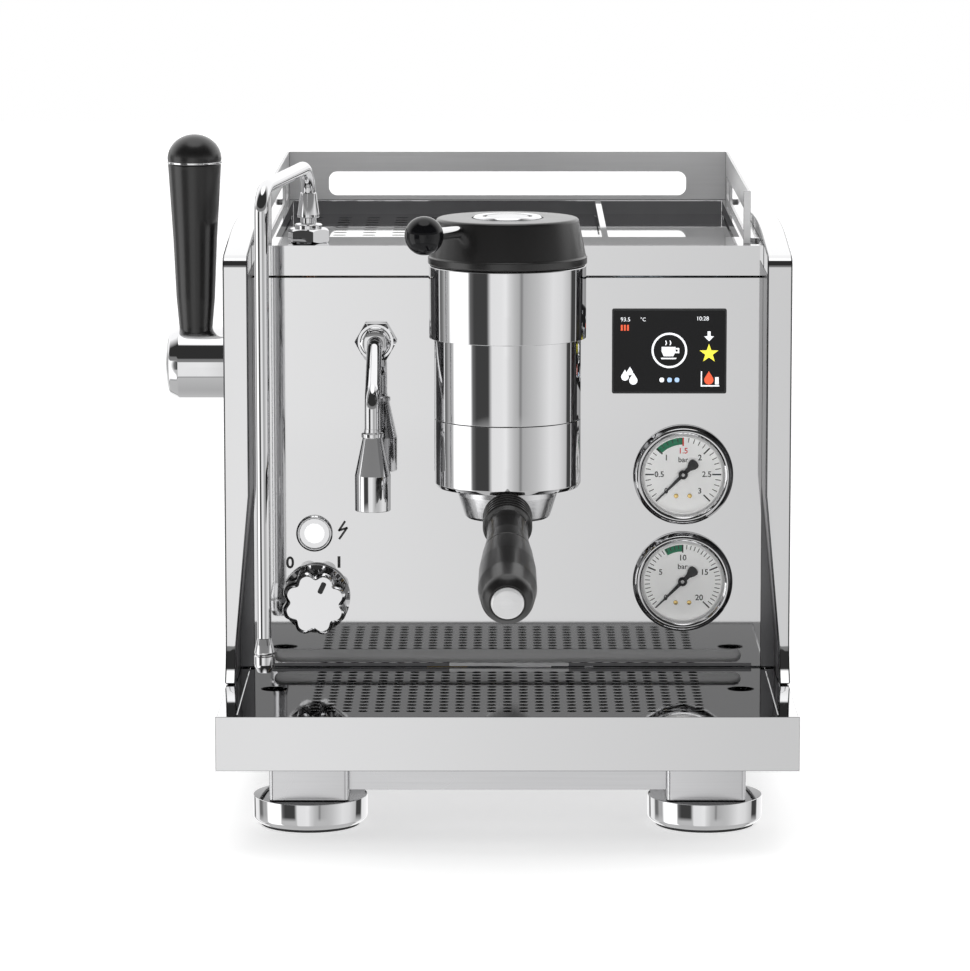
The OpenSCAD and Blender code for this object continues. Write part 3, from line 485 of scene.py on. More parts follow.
def bent_line(points, bend, steps=10):
    """Centre line through points with round bends."""
    line = [Vector(points[0])]
    for a, b, c in zip(points, points[1:], points[2:]):
        a, b, c = Vector(a), Vector(b), Vector(c)
        to_a, to_c = (a - b).normalized(), (c - b).normalized()
        half = to_a.angle(to_c) / 2
        cut = bend / math.tan(half)
        centre = b + (to_a + to_c).normalized() * bend / math.sin(half)
        start, finish = b + to_a * cut, b + to_c * cut
        spoke, end = start - centre, finish - centre
        axle = spoke.cross(end).normalized()
        total = spoke.angle(end)
        for k in range(steps + 1):
            line.append(centre + Matrix.Rotation(total * k / steps, 3, axle) @ spoke)
    line.append(Vector(points[-1]))
    return line


def tube_mesh(name, line, radius, sides=40):
    """Round bar along a line, closed at both ends."""
    work = bmesh.new()
    heading = (line[1] - line[0]).normalized()
    side = heading.orthogonal().normalized()
    rings = []
    for i, point in enumerate(line):
        ahead = line[min(i + 1, len(line) - 1)] - line[max(i - 1, 0)]
        ahead.normalize()
        side = (side - ahead * side.dot(ahead)).normalized()
        over = ahead.cross(side)
        rings.append([work.verts.new(point + (side * math.cos(a) + over * math.sin(a)) * radius)
                      for a in (2 * math.pi * k / sides for k in range(sides))])
    for low, high in zip(rings, rings[1:]):
        bridge(work, low, high)
    work.faces.new(rings[0])
    work.faces.new(rings[-1])
    return meshed(name, work)


def refine(node, mat, width, edge):
    """The CAD node's own shape with its edges rounded over, as sheet metal and castings are; the rounding takes
    the edge material, which for most nodes is a dark steel that paints shade along the edges.
    """
    mesh = frame["nodes"][node].data.copy()
    mesh.name = node + "_finished"
    for key in [a.name for a in mesh.attributes if a.name == "custom_normal"]:
        mesh.attributes.remove(mesh.attributes[key])
    work = bmesh.new()
    work.from_mesh(mesh)
    bmesh.ops.remove_doubles(work, verts=work.verts, dist=1e-6)
    bmesh.ops.dissolve_limit(work, angle_limit=math.radians(1.0), verts=work.verts,
                             edges=work.edges)
    work.to_mesh(mesh)
    work.free()
    obj = add_piece(mesh.name, mesh, mat, body_of(node), [node])
    mesh.materials.append(edge)
    bevel = obj.modifiers.new("edge", "BEVEL")
    bevel.width = width * MM
    bevel.segments = 3
    bevel.limit_method = "ANGLE"
    bevel.angle_limit = math.radians(30)
    bevel.harden_normals = True
    bevel.use_clamp_overlap = True
    # The rounding takes the second material, the dark edge steel for most nodes: painted shade
    bevel.material = 1


# ---------------------------------------------------------------- finished pieces
def centre(node):
    """Middle of a CAD node's box."""
    low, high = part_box(node)
    return (low + high) / 2


def group_pieces():
    """Cap, badge, covers and sleeve of the brew group, turned with their own small edges."""
    axis = Vector((GROUP.x, GROUP.y, 0))
    low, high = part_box("group_upper_cover")
    cover = (high.x - low.x) / 2 / MM
    tall = (high.z - low.z) / MM
    turned("upper_cover", [(30, tall), (30, tall - 3), (cover - 1.6, tall - 3), (cover - 1.6, 0),
                           (cover, 0, 0.4), (cover, tall, 0.8)],
           CHROME, "machine", axis + UP * low.z, replaces=["group_upper_cover"],
           round_by=0.2)
    low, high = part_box("group_sleeve")
    sleeve = (high.x - low.x) / 2 / MM
    tall = (high.z - low.z) / MM
    seam = 43.0
    turned("lower_sleeve", [(sleeve - 2.6, seam, 0.1), (sleeve - 2.6, 0, 0.4),
                            (sleeve - 1.4, 0, 0.8), (sleeve, 2.6, 1.6), (sleeve, seam - 0.1, 0.25)],
           CHROME, "machine", axis + UP * low.z, replaces=["group_sleeve"],
           round_by=0.1)
    turned("middle_sleeve", [(sleeve - 2.6, seam + 0.25, 0.1), (sleeve, seam + 0.25, 0.3),
                             (sleeve, tall, 0), (sleeve - 2.6, tall, 0)],
           CHROME, "machine", axis + UP * low.z, round_by=0.0)
    low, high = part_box("paddle_cap")
    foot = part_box("group_upper_cover")[1].z
    wide = (high.x - low.x) / 2 / MM
    tall = (high.z - foot) / MM - 1.2
    turned("paddle_cap_shell", [(30, 2, 0.2), (30, 0.3, 0.2), (wide - 1.2, 0.3, 0.6),
                                (wide, 1.4, 0.8), (wide, 5.2, 0.6), (wide - 0.8, 6.2, 1.0),
                                (wide - 5.5, tall, 2.6), (22.5, tall, 0.3), (22.5, tall - 1, 0.2),
                                (6, tall - 1, 0)],
           BLACK_SATIN, "paddle", axis + UP * foot, replaces=["paddle_cap"],
           round_by=0.2, open_ended=True)
    badge = axis + UP * (foot + tall * MM)
    turned("cap_badge", [(15.6, -1), (15.6, 1.0, 0.3), (16.4, 1.2, 0.3), (20.4, 1.2, 0.6),
                         (21.4, 0.1, 0.5), (21.4, -1)],
           CHROME, "paddle", badge, round_by=0.2)
    turned("cap_badge_groove", [(13.2, -1), (15.8, -1), (15.8, 0.3), (13.2, 0.3)], BLACK_PAINT,
           "paddle", badge)
    turned("cap_badge_centre", [(0, 1.1), (12.6, 1.1, 0.4), (13.4, 0.4, 0.3), (13.4, -1),
                                (0, -1)],
           SATIN, "paddle", badge, round_by=0.2)


def paddle_pieces():
    """Chromed stem and the glossy ball."""
    ball = centre("paddle_ball")
    hub = Vector((GROUP.x, GROUP.y, ball.z))
    out = (ball - hub).normalized()
    reach = (ball - hub).length / MM
    size = (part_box("paddle_ball")[1].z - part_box("paddle_ball")[0].z) / 2 / MM
    ring = [(size * math.sin(math.pi * i / 48), reach - size * math.cos(math.pi * i / 48))
            for i in range(49)]
    turned("paddle_knob", ring, BLACK_GLOSS, "paddle", hub, out,
           replaces=["paddle_ball"], sides=96)
    turned("paddle_rod", [(0, 40), (4, 40), (4, reach - 10.5), (5.2, reach - 11, 0.3),
                          (5.2, reach - 9, 0.3), (0, reach - 9)],
           CHROME, "paddle", hub, out, replaces=["paddle_stem"],
           round_by=0.1, sides=64)


def handle_axis():
    """Point on the group's axis and direction of the portafilter's handle."""
    cap = centre("handle_end_cap")
    slope = math.radians(11.3)
    along = Vector((0, -math.cos(slope), -math.sin(slope)))
    start = cap - along * ((cap.y - GROUP.y) / along.y)
    return start, along, (cap - start).length / MM


def portafilter_pieces():
    """Chromed bowl, ribbed collar, two-part black handle and its end cap."""
    low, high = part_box("portafilter_bowl")
    bowl = 31.0
    axis = Vector((GROUP.x, GROUP.y, low.z))
    tall = (high.z - low.z) / MM
    turned("bowl", [(29.6, tall), (29.6, 14), (23, 14), (23, 4.2), (6, 4, 0.3), (6, 0, 0.3),
                    (bowl - 5.6, 0, 1.4), (bowl - 4.2, 1.6, 1.0), (bowl - 0.1, 14.6, 3.0),
                    (bowl, tall - 4, 0.2),
                    (35.8, tall - 4, 0.4), (35.8, tall, 0.4)],
           SHEET, "portafilter", axis, replaces=["portafilter_bowl"], round_by=0.3)
    start, along, reach = handle_axis()
    root = bowl + 13.5
    turned("handle_shank", [(0, 24), (8, 24), (8, root + 1), (0, root + 1)], CHROME,
           "portafilter", start, along, round_by=0.2, sides=64)
    ribs = []
    for k in range(5):
        at = root + 2.5 + k * 4.2
        ribs += [(14.8, at, 0.5), (15.3, at + 1.0, 0.5), (15.3, at + 2.6, 0.5),
                 (14.4, at + 3.2, 0.4)]
    turned("handle_collar", [(0, root), (11.5, root, 1.5), *ribs, (13.4, root + 24.5, 1.2),
                             (12.6, root + 26), (0, root + 26)],
           BLACK_SATIN, "portafilter", start, along, round_by=0.3, sides=96)
    seam = root + 72
    turned("handle_neck", [(0, root + 25), (12.9, root + 25, 0.5), (12.6, root + 34, 6),
                           (13.0, root + 52, 12), (14.9, seam - 1.0, 0.6), (14.2, seam, 0.4),
                           (0, seam)],
           BLACK_SATIN, "portafilter", start, along, round_by=0.5, sides=96)
    turned("handle_grip", [(0, seam), (14.3, seam, 0.3), (15.2, seam + 0.9, 0.7),
                           (17.2, seam + 28, 30), (17.7, reach - 24, 26), (15.6, reach - 6, 9),
                           (11.0, reach - 1.2, 1.0), (10.3, reach - 1.6, 0.2), (0, reach - 1.6)],
           BLACK_SATIN, "portafilter", start, along, replaces=["portafilter_handle"],
           round_by=0.5, sides=96)
    turned("grip_end", [(0, reach - 2), (9.8, reach - 2), (9.8, reach - 0.4, 0.4),
                        (8.6, reach + 0.8, 1.4), (4, reach + 1.6, 3), (0, reach + 1.8)],
           RAIL, "portafilter", start, along, replaces=["handle_end_cap"], round_by=0.4,
           sides=64)


def lever_pieces():
    """Steam lever: chromed hub with a soft outer edge, black grip, thin ring and dome."""
    low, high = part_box("lever_hub")
    at, _ = joint("steam_lever_turn")
    radius = (high.z - low.z) / 2 / MM
    reach = (high.x - low.x) / MM
    base = Vector((high.x, at.y, at.z))
    turned("hub", [(5.1, 0), (radius - 1.5, 0, 0.4), (radius, 1.2, 0.8), (radius, reach - 8, 3),
                   (radius - 3.2, reach - 1.6, 3.5), (radius - 9, reach, 2.0), (0, reach)],
           CHROME, "steam_lever", base, LEFT, replaces=["lever_hub"], round_by=0.4,
           open_ended=True)
    ring = centre("lever_ring")
    foot = Vector((ring.x, ring.y, at.z))
    ring_at = (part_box("lever_ring")[0].z - at.z) / MM
    top = (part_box("lever_handle")[1].z - at.z) / MM
    turned("lever_grip", [(0, radius - 4), (10.9, radius - 4), (11.0, radius + 1, 0.5),
                          (12.7, radius + 20, 14), (14.4, ring_at * 0.62, 40),
                          (17.3, ring_at - 3, 8), (17.6, ring_at - 0.5, 0.6), (0, ring_at)],
           BLACK_SATIN, "steam_lever", foot, replaces=["lever_handle"], round_by=0.5, sides=96)
    turned("lever_band", [(0, ring_at), (17.9, ring_at, 0.2), (17.9, ring_at + 1.3, 0.2),
                          (0, ring_at + 1.3)],
           CHROME, "steam_lever", foot, replaces=["lever_ring"], round_by=0.1, sides=96)
    dome = [(0, top)] + [(17.7 * math.sin(a), ring_at + 3.0 + (top - ring_at - 3.0) * math.cos(a))
                         for a in (math.pi / 2 * k / 16 for k in range(1, 17))]
    turned("lever_dome", dome + [(17.5, ring_at + 1.3), (0, ring_at + 1.3)], BLACK_SATIN,
           "steam_lever", foot, sides=96)


def hex_nut(name, flats, height, bore, body, origin, direction, spin=0.0, replaces=()):
    """Chromed hexagon nut with turned chamfers and a hole."""
    work = bmesh.new()
    place = frame_matrix(origin, direction)
    sides = 96
    edge = flats / 2
    crown = edge * 0.97

    def corner(angle):
        part = (angle + math.pi / 6) % (math.pi / 3) - math.pi / 6
        return edge / math.cos(part)

    def ring(at, kind):
        verts = []
        for k in range(sides):
            angle = 2 * math.pi * k / sides
            full = corner(angle)
            drop = max(0.0, full - crown) * math.tan(math.radians(32))
            radius = {"bore": bore, "crown": crown, "full": full}[kind]
            rise = at if kind != "full" else (at - drop if at > height / 2 else at + drop)
            turn = angle + spin
            verts.append(work.verts.new(place @ Vector((radius * math.cos(turn) * MM,
                                                        radius * math.sin(turn) * MM,
                                                        rise * MM))))
        return verts

    rings = [ring(0, "bore"), ring(0, "crown"), ring(0, "full"), ring(height, "full"),
             ring(height, "crown"), ring(height, "bore")]
    rings.append(rings[0])
    for low, high in zip(rings, rings[1:]):
        bridge(work, low, high)
    return add_piece(name, meshed(name, work), CHROME, body, replaces, 20)


def wand_pieces():
    """Steam wand: nut on the deck, collar, one bent pipe, sleeve, ball joint and tip."""
    at, _ = joint("wand_swivel")
    low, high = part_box("wand_pipe")
    foot = Vector((at.x, at.y, DECK_Z))
    radius = 4.5
    tip_low, tip_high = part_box("wand_tip")
    tip = (tip_low + tip_high) / 2
    back_z = high.z - radius * MM
    joint_z = low.z
    line = bent_line([(at.x, at.y, DECK_Z + 12 * MM), (at.x, at.y, back_z),
                      (tip.x, tip.y, back_z - 4 * MM), (tip.x, tip.y, joint_z + 6 * MM)],
                     17 * MM, 14)
    mesh = tube_mesh("steam_pipe", line, radius * MM)
    add_piece("steam_pipe", mesh, CHROME, "wand", ["wand_pipe"])
    turned("pipe_collar", [(4.4, 12.2), (5.2, 12.2, 0.2), (5.2, 16, 0.3), (7.1, 16.2, 0.5),
                           (7.1, 18, 0.8), (5.3, 32, 0.5), (4.4, 32.4)],
           CHROME, "wand", foot, round_by=0.3, sides=64)
    hex_nut("deck_nut", 24, 9, 5.0, "machine", foot, UP, 0.26, ["wand_nut"])
    turned("deck_nut_collar", [(4.6, 8), (9, 8), (9, 11.4, 0.8), (8.2, 12, 0.4), (4.6, 12)],
           CHROME, "machine", foot, round_by=0.2, sides=64)
    end = Vector((tip.x, tip.y, joint_z))
    turned("wand_ball", [(0, 0), (6.4, 0, 0.4), (6.5, 1.2, 0.6), (5.5, 6, 1.6), (4.6, 9.8, 0.6),
                         (4.4, 10.4, 0.2), (0, 10.4)],
           CHROME, "wand", end, round_by=0.3, sides=64)
    foot = Vector((tip.x, tip.y, tip_low.z))
    tall = (tip_high.z - tip_low.z) / MM
    turned("wand_nozzle", [(0, 1.0), (1.2, 0.2, 0.4), (4.3, 0, 0.8), (6.3, 3.8, 1.0),
                           (6.6, 5.4, 0.8), (6.6, tall - 1.4, 0.5), (6.1, tall - 0.8, 0.2),
                           (6.1, tall - 0.2), (0, tall - 0.2)],
           CHROME, "wand", foot, round_by=0.3, replaces=["wand_tip"],
           sides=64)


def spout_pieces():
    """Hot-water spout: nuts on the panel, bent pipe, ring, bell and outlet."""
    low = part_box("hot_water_spout")[0]
    nut = centre("spout_nut")
    at = Vector((nut.x, PANEL_Y, nut.z))
    out = Vector((nut.x, low.y + 11.3 * MM, 0))
    hex_nut("spout_panel_nut", 23.6, 9, 5.2, "machine", at, FORWARD, math.pi / 6, ["spout_nut"])
    turned("spout_nut_face", [(5.2, 8), (10, 8), (10, 10.4, 0.5), (9.4, 11, 0.4), (5.2, 11)],
           CHROME, "machine", at, FORWARD, round_by=0.2, sides=64)
    hex_nut("spout_union", 17, 7, 4.8, "spout", at + FORWARD * 11.4 * MM, FORWARD, math.pi / 6)
    turned("spout_ring", [(5.0, 18.4), (8.2, 18.4, 0.6), (8.2, 20.6, 0.8), (5.0, 21.2, 0.3)],
           CHROME, "spout", at, FORWARD, round_by=0.2, sides=64)
    line = bent_line([(nut.x, PANEL_Y + 8 * MM, nut.z), (nut.x, PANEL_Y - 40 * MM, nut.z),
                      (out.x, out.y, nut.z - 26 * MM), (out.x, out.y, nut.z - 50 * MM)],
                     16 * MM, 12)
    mesh = tube_mesh("spout_pipe", line, 4.9 * MM)
    add_piece("spout_pipe", mesh, CHROME, "spout", ["hot_water_spout"])
    bottom = Vector((out.x, out.y, low.z))
    turned("spout_bell", [(9.6, 20), (9.6, 0, 0.3), (11.3, 0, 0.5), (11.35, 22.5, 0.8),
                          (6.3, 46, 1.0), (6.2, 46.4, 0.2), (7.0, 46.6, 0.4), (7.0, 49.2, 0.6),
                          (5.2, 49.6, 0.3), (5.0, 52, 0.2), (4.0, 52), (4.0, 22)],
           CHROME, "spout", bottom, round_by=0.2, sides=96)


def foot_pieces():
    """Chromed feet with soft edges, and a top painted dark as shade so that the blocks stand out."""
    low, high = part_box("foot_cups")
    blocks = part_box("foot_blocks")[0].z / MM
    radius = 36.6
    xs = (low.x + radius * MM, high.x - radius * MM)
    ys = (low.y + radius * MM, high.y - radius * MM)
    for k, (x, y) in enumerate((x, y) for x in xs for y in ys):
        cup = turned(f"foot_cup_{k}",
                     [(0, 1.3), (radius - 6, 1.3, 1), (radius - 3, 1.9, 2.5),
                      (radius, 4.6, 3.0), (radius, blocks, 0.6), (0, blocks)],
               CHROME, "machine", Vector((x, y, 0)), round_by=0.3,
               replaces=["foot_cups"] if k == 0 else ())
        cup.data.materials.append(SHADED_CHROME)
        # The top face takes the shaded chrome: painted shade
        for face in cup.data.polygons:
            face.material_index = 1 if face.normal.z > 0.8 else 0


def ring_plate(name, inner, outer, thick, mat, origin, start, finish, steps=24):
    """Part of a flat ring that faces the front; angles clockwise from the top."""
    work = bmesh.new()
    rings = []
    for radius, height in ((inner, 0), (outer, 0), (outer, thick), (inner, thick)):
        rings.append([work.verts.new(origin + Vector((math.sin(a) * radius, 0,
                                                      math.cos(a) * radius)) * MM
                                     + FORWARD * height * MM)
                      for a in (math.radians(start + (finish - start) * i / steps)
                                for i in range(steps + 1))])
    for low, high in zip(rings, rings[1:] + rings[:1]):
        for i in range(steps):
            work.faces.new((low[i], low[i + 1], high[i + 1], high[i]))
    for i in (0, steps):
        work.faces.new([r[i] for r in rings])
    return add_piece(name, meshed(name, work), mat)


def flat_mesh(name, outlines, thick, origin, right=Vector((1, 0, 0)), up=UP):
    """Thin plates from outlines in millimetres, facing along right x up; a plate each."""
    work = bmesh.new()
    out = right.cross(up)
    for outline in outlines:
        low = [work.verts.new(origin + (right * x + up * y) * MM) for x, y in outline]
        high = [work.verts.new(v.co + out * thick * MM) for v in low]
        work.faces.new(low)
        work.faces.new(high[::-1])
        bridge(work, low, high)
    return meshed(name, work)


def print_on(name, outlines, mat, origin, thick=0.12):
    """Raised print that faces the front: flat plates about a tenth of a millimetre thick."""
    return add_piece(name, flat_mesh(name, outlines, thick, origin), mat)


def words(name, text, height, mat, origin, bold=0.0):
    """Plain numerals or units in the built-in face, centred on origin and facing the front."""
    data = bpy.data.curves.new(name, "FONT")
    data.body = text
    data.size = height / 0.7 * MM
    data.align_x = "CENTER"
    data.align_y = "CENTER"
    data.extrude = 0.05 * MM
    data.offset = bold * MM
    data.resolution_u = 4
    letter = bpy.data.objects.new(name + "_curve", data)
    bpy.context.scene.collection.objects.link(letter)
    bpy.context.view_layer.update()
    mesh = bpy.data.meshes.new_from_object(letter.evaluated_get(
        bpy.context.evaluated_depsgraph_get()))
    bpy.data.objects.remove(letter)
    mesh.name = name
    mesh.transform(Matrix.Translation(origin) @ Matrix.Rotation(math.pi / 2, 4, "X"))
    return add_piece(name, mesh, mat, smooth_angle=20)


def bar_outline(angle, inner, outer, wide):
    """Tick mark pointing outwards at an angle clockwise from the top."""
    a = math.radians(angle)
    out = Vector((math.sin(a), math.cos(a)))
    side = Vector((math.cos(a), -math.sin(a))) * wide / 2
    return [tuple(p) for p in (out * inner - side, out * inner + side, out * outer + side,
                               out * outer - side)]


def stroke(points, wide):
    """Straight strokes of one width from point to point, an outline each."""
    out = []
    for start, finish in zip(points, points[1:]):
        a, b = Vector(start), Vector(finish)
        along = (b - a).normalized() * wide / 2
        side = Vector((-along.y, along.x))
        out.append([tuple(p) for p in (a - along * 0.6 - side, b + along * 0.6 - side,
                                       b + along * 0.6 + side, a - along * 0.6 + side)])
    return out


# Scale of both gauges in degrees clockwise from the top: its zero, and the whole sweep
DIAL_ZERO = -135
DIAL_SWEEP = 270.0


def gauge(name, x, z, top, marks, ticks, green, red_mark):
    """Dial and its print, glass and polished bezel of one pressure gauge."""
    at = Vector((x, PANEL_Y, z))
    face = at + FORWARD * 1.0 * MM
    tick_end = 24.8

    def angle(value):
        return DIAL_ZERO + DIAL_SWEEP * value / top

    turned(name + "_dial", [(0, 0.2), (26.2, 0.2), (26.2, 1.1, 0.2), (0, 1.1)], DIAL,
           "machine", at, FORWARD)
    turned(name + "_rim", [(26.2, 0.6), (26.2, 3.4, 0.3), (25.2, 4.8, 0.6), (24.6, 4.8, 0.2),
                           (25.2, 1.1, 0.3)],
           DIAL, "machine", at, FORWARD, round_by=0.1)
    long_ticks = [bar_outline(angle(v), 18.9, tick_end, 0.9) for v in marks]
    short = [bar_outline(angle(top * i / ticks), 21.2, tick_end, 0.5)
             for i in range(ticks + 1)]
    print_on(name + "_ticks", long_ticks + short, INK, face, thick=0.2)
    ring_plate(name + "_safe_band", 19.6, 25.6, 0.12, GREEN, face, angle(green[0]),
               angle(green[1]))
    if red_mark is not None:
        print_on(name + "_limit", [bar_outline(angle(red_mark), 18.6, 25.4, 0.9)], RED,
                 face + FORWARD * 0.12 * MM)
    reach = 15.4
    for k, value in enumerate(marks):
        a = math.radians(angle(value))
        spot = face + Vector((math.sin(a) * reach, 0, math.cos(a) * reach)) * MM
        words(f"{name}_number_{k}", f"{value:g}", 3.6, RED if value == red_mark else INK,
              spot + FORWARD * 0.1 * MM, bold=0.09)
    words(name + "_unit", "bar", 3.5, INK, face + Vector((0, -0.1, 9.6)) * MM, bold=0.06)
    for k, side in enumerate((-1, 1)):
        screw = face + Vector((side * 4.4, 0, -14.0)) * MM
        turned(f"{name}_screw_{k}", [(0, 0), (1.5, 0), (1.5, 0.5, 0.3), (0, 0.7)], BRASS,
               "machine", screw, FORWARD, round_by=0.1, sides=24)
    turned(name + "_bezel", [(26.3, 0), (26.3, 4.6, 0.4), (27.2, 7.2, 0.8), (28.8, 8.5, 1.4),
                             (30.8, 7.6, 1.8), (32.5, 3.5, 2.4), (32.5, 0, 0.4)],
           CHROME, "machine", at, FORWARD, round_by=0.3)
    turned(name + "_glass", [(0, 5.0), (26.2, 5.0), (26.2, 6.2), (0, 6.2)], GLASS,
           "machine", at, FORWARD)


def needle(name, joint_name, body, node):
    """Tapered needle with a paddle-shaped tail and a round hub."""
    at, _ = joint(joint_name)
    face = Vector((at.x, PANEL_Y - 1.9 * MM, at.z))
    a = math.radians(DIAL_ZERO)
    ahead = Vector((math.sin(a), 0, math.cos(a)))
    side = ahead.cross(FORWARD)
    outline = [(-0.28, 24.0), (0.28, 24.0), (1.25, 0), (1.6, -5.2), (3.1, -8.0), (3.5, -10.2),
               (2.6, -11.6), (0.9, -12.2), (-0.9, -12.2), (-2.6, -11.6), (-3.5, -10.2),
               (-3.1, -8.0), (-1.6, -5.2), (-1.25, 0)]
    mesh = flat_mesh(name, [outline], 0.7, face, side, ahead)
    add_piece(name, mesh, BLACK_PAINT, body, [node])
    turned(name + "_hub", [(0, 0.2), (3.0, 0.2), (3.0, 1.6, 0.5), (1.5, 2.0, 0.3), (1.3, 1.7, 0.2),
                           (0, 1.7)],
           BLACK_PAINT, body, face, FORWARD, round_by=0.2, sides=48)
    turned(name + "_pin", [(0, 1.6), (0.8, 1.6), (0.8, 2.2, 0.3), (0, 2.4)], SATIN, body,
           face, FORWARD, sides=24)


def gauge_pieces():
    """Both pressure gauges with their needles."""
    steam, _ = joint("steam_needle_turn")
    pump, _ = joint("pump_needle_turn")
    gauge("steam_gauge", steam.x, steam.z, 3.0, [0, 0.5, 1, 1.5, 2, 2.5, 3], 30, (0.98, 1.5), 1.5)
    gauge("pump_gauge", pump.x, pump.z, 20.0, [0, 5, 10, 15, 20], 40, (7.8, 10), None)
    needle("steam_pointer", "steam_needle_turn", "steam_gauge_needle", "steam_needle")
    needle("pump_pointer", "pump_needle_turn", "pump_gauge_needle", "pump_needle")
    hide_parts("gauge_bezels")
    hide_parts("gauge_glasses")


def rounded_outline(wide, tall, radius, x=0.0, y=0.0, steps=6):
    """Rectangle with round corners, centred on x, y."""
    out = []
    for cx, cy, start in ((1, 1, 0), (-1, 1, 90), (-1, -1, 180), (1, -1, 270)):
        for k in range(steps + 1):
            a = math.radians(start + 90 * k / steps)
            out.append((x + cx * (wide / 2 - radius) + radius * math.cos(a),
                        y + cy * (tall / 2 - radius) + radius * math.sin(a)))
    return out


def drop_outline(x, y, size):
    """Water drop with its point up."""
    out = [(x, y + size * 1.9)]
    for k in range(17):
        a = math.radians(40 - 260 * k / 16)
        out.append((x + size * math.cos(a), y + size * math.sin(a)))
    return out


def display_pieces():
    """Black glass with a thin frame and lit generic symbols."""
    low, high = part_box("display_unit")
    wide, tall = (high.x - low.x) / MM, (high.z - low.z) / MM
    mid = Vector(((low.x + high.x) / 2, PANEL_Y, (low.z + high.z) / 2))
    mesh = flat_mesh("display_frame", [rounded_outline(wide, tall, 1.2)], 1.5, mid)
    add_piece("display_frame", mesh, BLACK_PAINT, replaces=["display_unit"])
    mesh = flat_mesh("display_window", [rounded_outline(wide - 2.4, tall - 2.4, 0.8)], 0.35,
                     mid + FORWARD * 1.5 * MM)
    add_piece("display_window", mesh, SCREEN)
    face = mid + FORWARD * 1.86 * MM
    thick = 0.08

    def lit(name, outlines, mat=LIT_WHITE):
        print_on("display_" + name, outlines, mat, face, thick)

    ring_plate("display_ring", 10.2, 11.5, thick, LIT_WHITE, face + UP * 0.6 * MM, 0, 360, 64)
    cup = [(-5, 2.5), (-5, -0.5), (-3.6, -3.6), (2.6, -3.6), (4, -0.5), (4, 2.5)]
    ear = [(4.3, 1.8), (6.4, 1.8), (6.4, -1.6), (3.8, -1.6), (3.8, -0.6), (5.4, -0.6), (5.4, 0.8),
           (4.3, 0.8)]
    dish = [(-5.6, -4.6), (4.8, -4.6), (4.2, -5.5), (-5, -5.5)]
    steam = [[(x - 0.35, 3.6), (x + 0.35, 3.6), (x + 0.9, 5.0), (x + 0.35, 6.6), (x - 0.35, 6.6),
              (x + 0.2, 5.0)] for x in (-2.4, 0.4)]
    lift = [[(x, y + 0.4) for x, y in shape] for shape in (cup, ear, dish, *steam)]
    lit("cup", lift)
    drops = [drop_outline(-28.6, -16.6, 2.5), drop_outline(-23.2, -19.0, 2.7),
             drop_outline(-25.4, -13.6, 1.9)]
    lit("drops", drops)
    for k, (x, mat) in enumerate(((-4.8, LIT_WHITE), (0.2, LIT_BLUE), (5.0, LIT_BLUE))):
        lit(f"dot_{k}", [rounded_outline(3.0, 3.0, 1.2, x, -18.6)], mat)
    star = []
    for k in range(10):
        a = math.radians(36 * k)
        size = 6.4 if k % 2 == 0 else 2.6
        star.append((25.6 + size * math.sin(a), -1.4 + size * math.cos(a)))
    lit("star", [star], LIT_YELLOW)
    arrow = [(24.6, 13.0), (26.6, 13.0), (26.6, 9.8), (28.8, 9.8), (25.6, 6.6), (22.4, 9.8),
             (24.6, 9.8)]
    lit("arrow", [arrow])
    chart = [[(20.4, -13), (21.2, -13), (21.2, -22), (20.4, -22)],
             [(20.4, -22), (32.4, -22), (32.4, -22.9), (20.4, -22.9)],
             [(29.6, -16.8), (32.0, -16.8), (32.0, -21.6), (29.6, -21.6)]]
    lit("chart", chart)
    lit("flame", [drop_outline(25.6, -18.6, 3.0)], LIT_RED)
    waves = [[(-31.4 + 2.0 * k, 13.4), (-30.2 + 2.0 * k, 13.4), (-30.2 + 2.0 * k, 17.2),
              (-31.4 + 2.0 * k, 17.2)] for k in range(3)]
    lit("heat", waves, LIT_RED)
    for name, text, height, x, z in (("temperature", "93.5", 2.6, -28.4, 20.6),
                                     ("degrees", "°C", 2.4, -17.0, 20.6),
                                     ("clock", "10:28", 2.6, 21.4, 21.2)):
        words("display_" + name, text, height, LIT_WHITE, face + Vector((x, -0.05, z)) * MM)


def lamp_pieces():
    """Mains lamp: stepped chrome bezel, lit lens; and the plain signs printed beside it."""
    lamp = centre("power_lamp")
    at = Vector((lamp.x, PANEL_Y, lamp.z))
    turned("lamp_ring", [(9.6, 0), (11.9, 0, 0.3), (11.9, 1.6, 0.7), (10.8, 2.9, 0.8),
                         (9.9, 2.7, 0.4), (9.6, 1.2, 0.2)],
           CHROME, "machine", at, FORWARD, round_by=0.2, sides=96)
    turned("lamp_seat", [(6.2, 0), (9.6, 0), (9.6, 1.3), (6.6, 1.3), (6.2, 0.9, 0.1)], CHROME,
           "machine", at, FORWARD, sides=96)
    turned("lamp_lens", [(0, -4), (6.2, -4), (6.2, 1.1, 0.4), (4.5, 2.0, 2), (0, 2.4)], LENS,
           "machine", at, FORWARD, replaces=["power_lamp"],
           round_by=0.3, sides=64)
    bolt = stroke([(1.2, 5.6), (-2.6, -0.2), (2.6, 1.5), (-2.3, -5.6)], 1.4)
    knob, _ = joint("power_knob_turn")
    print_on("bolt_sign", bolt, INK, at + Vector((18.5, 0, 2.0)) * MM)
    signs = Vector((knob.x, PANEL_Y, knob.z))
    words("off_sign", "0", 7.4, INK, signs + Vector((-16.7, -0.06, 22.6)) * MM, bold=0.28)
    print_on("on_sign", [[(-0.95, -3.8), (0.95, -3.8), (0.95, 3.8), (-0.95, 3.8)]], INK,
             signs + Vector((15.1, 0, 23.3)) * MM)


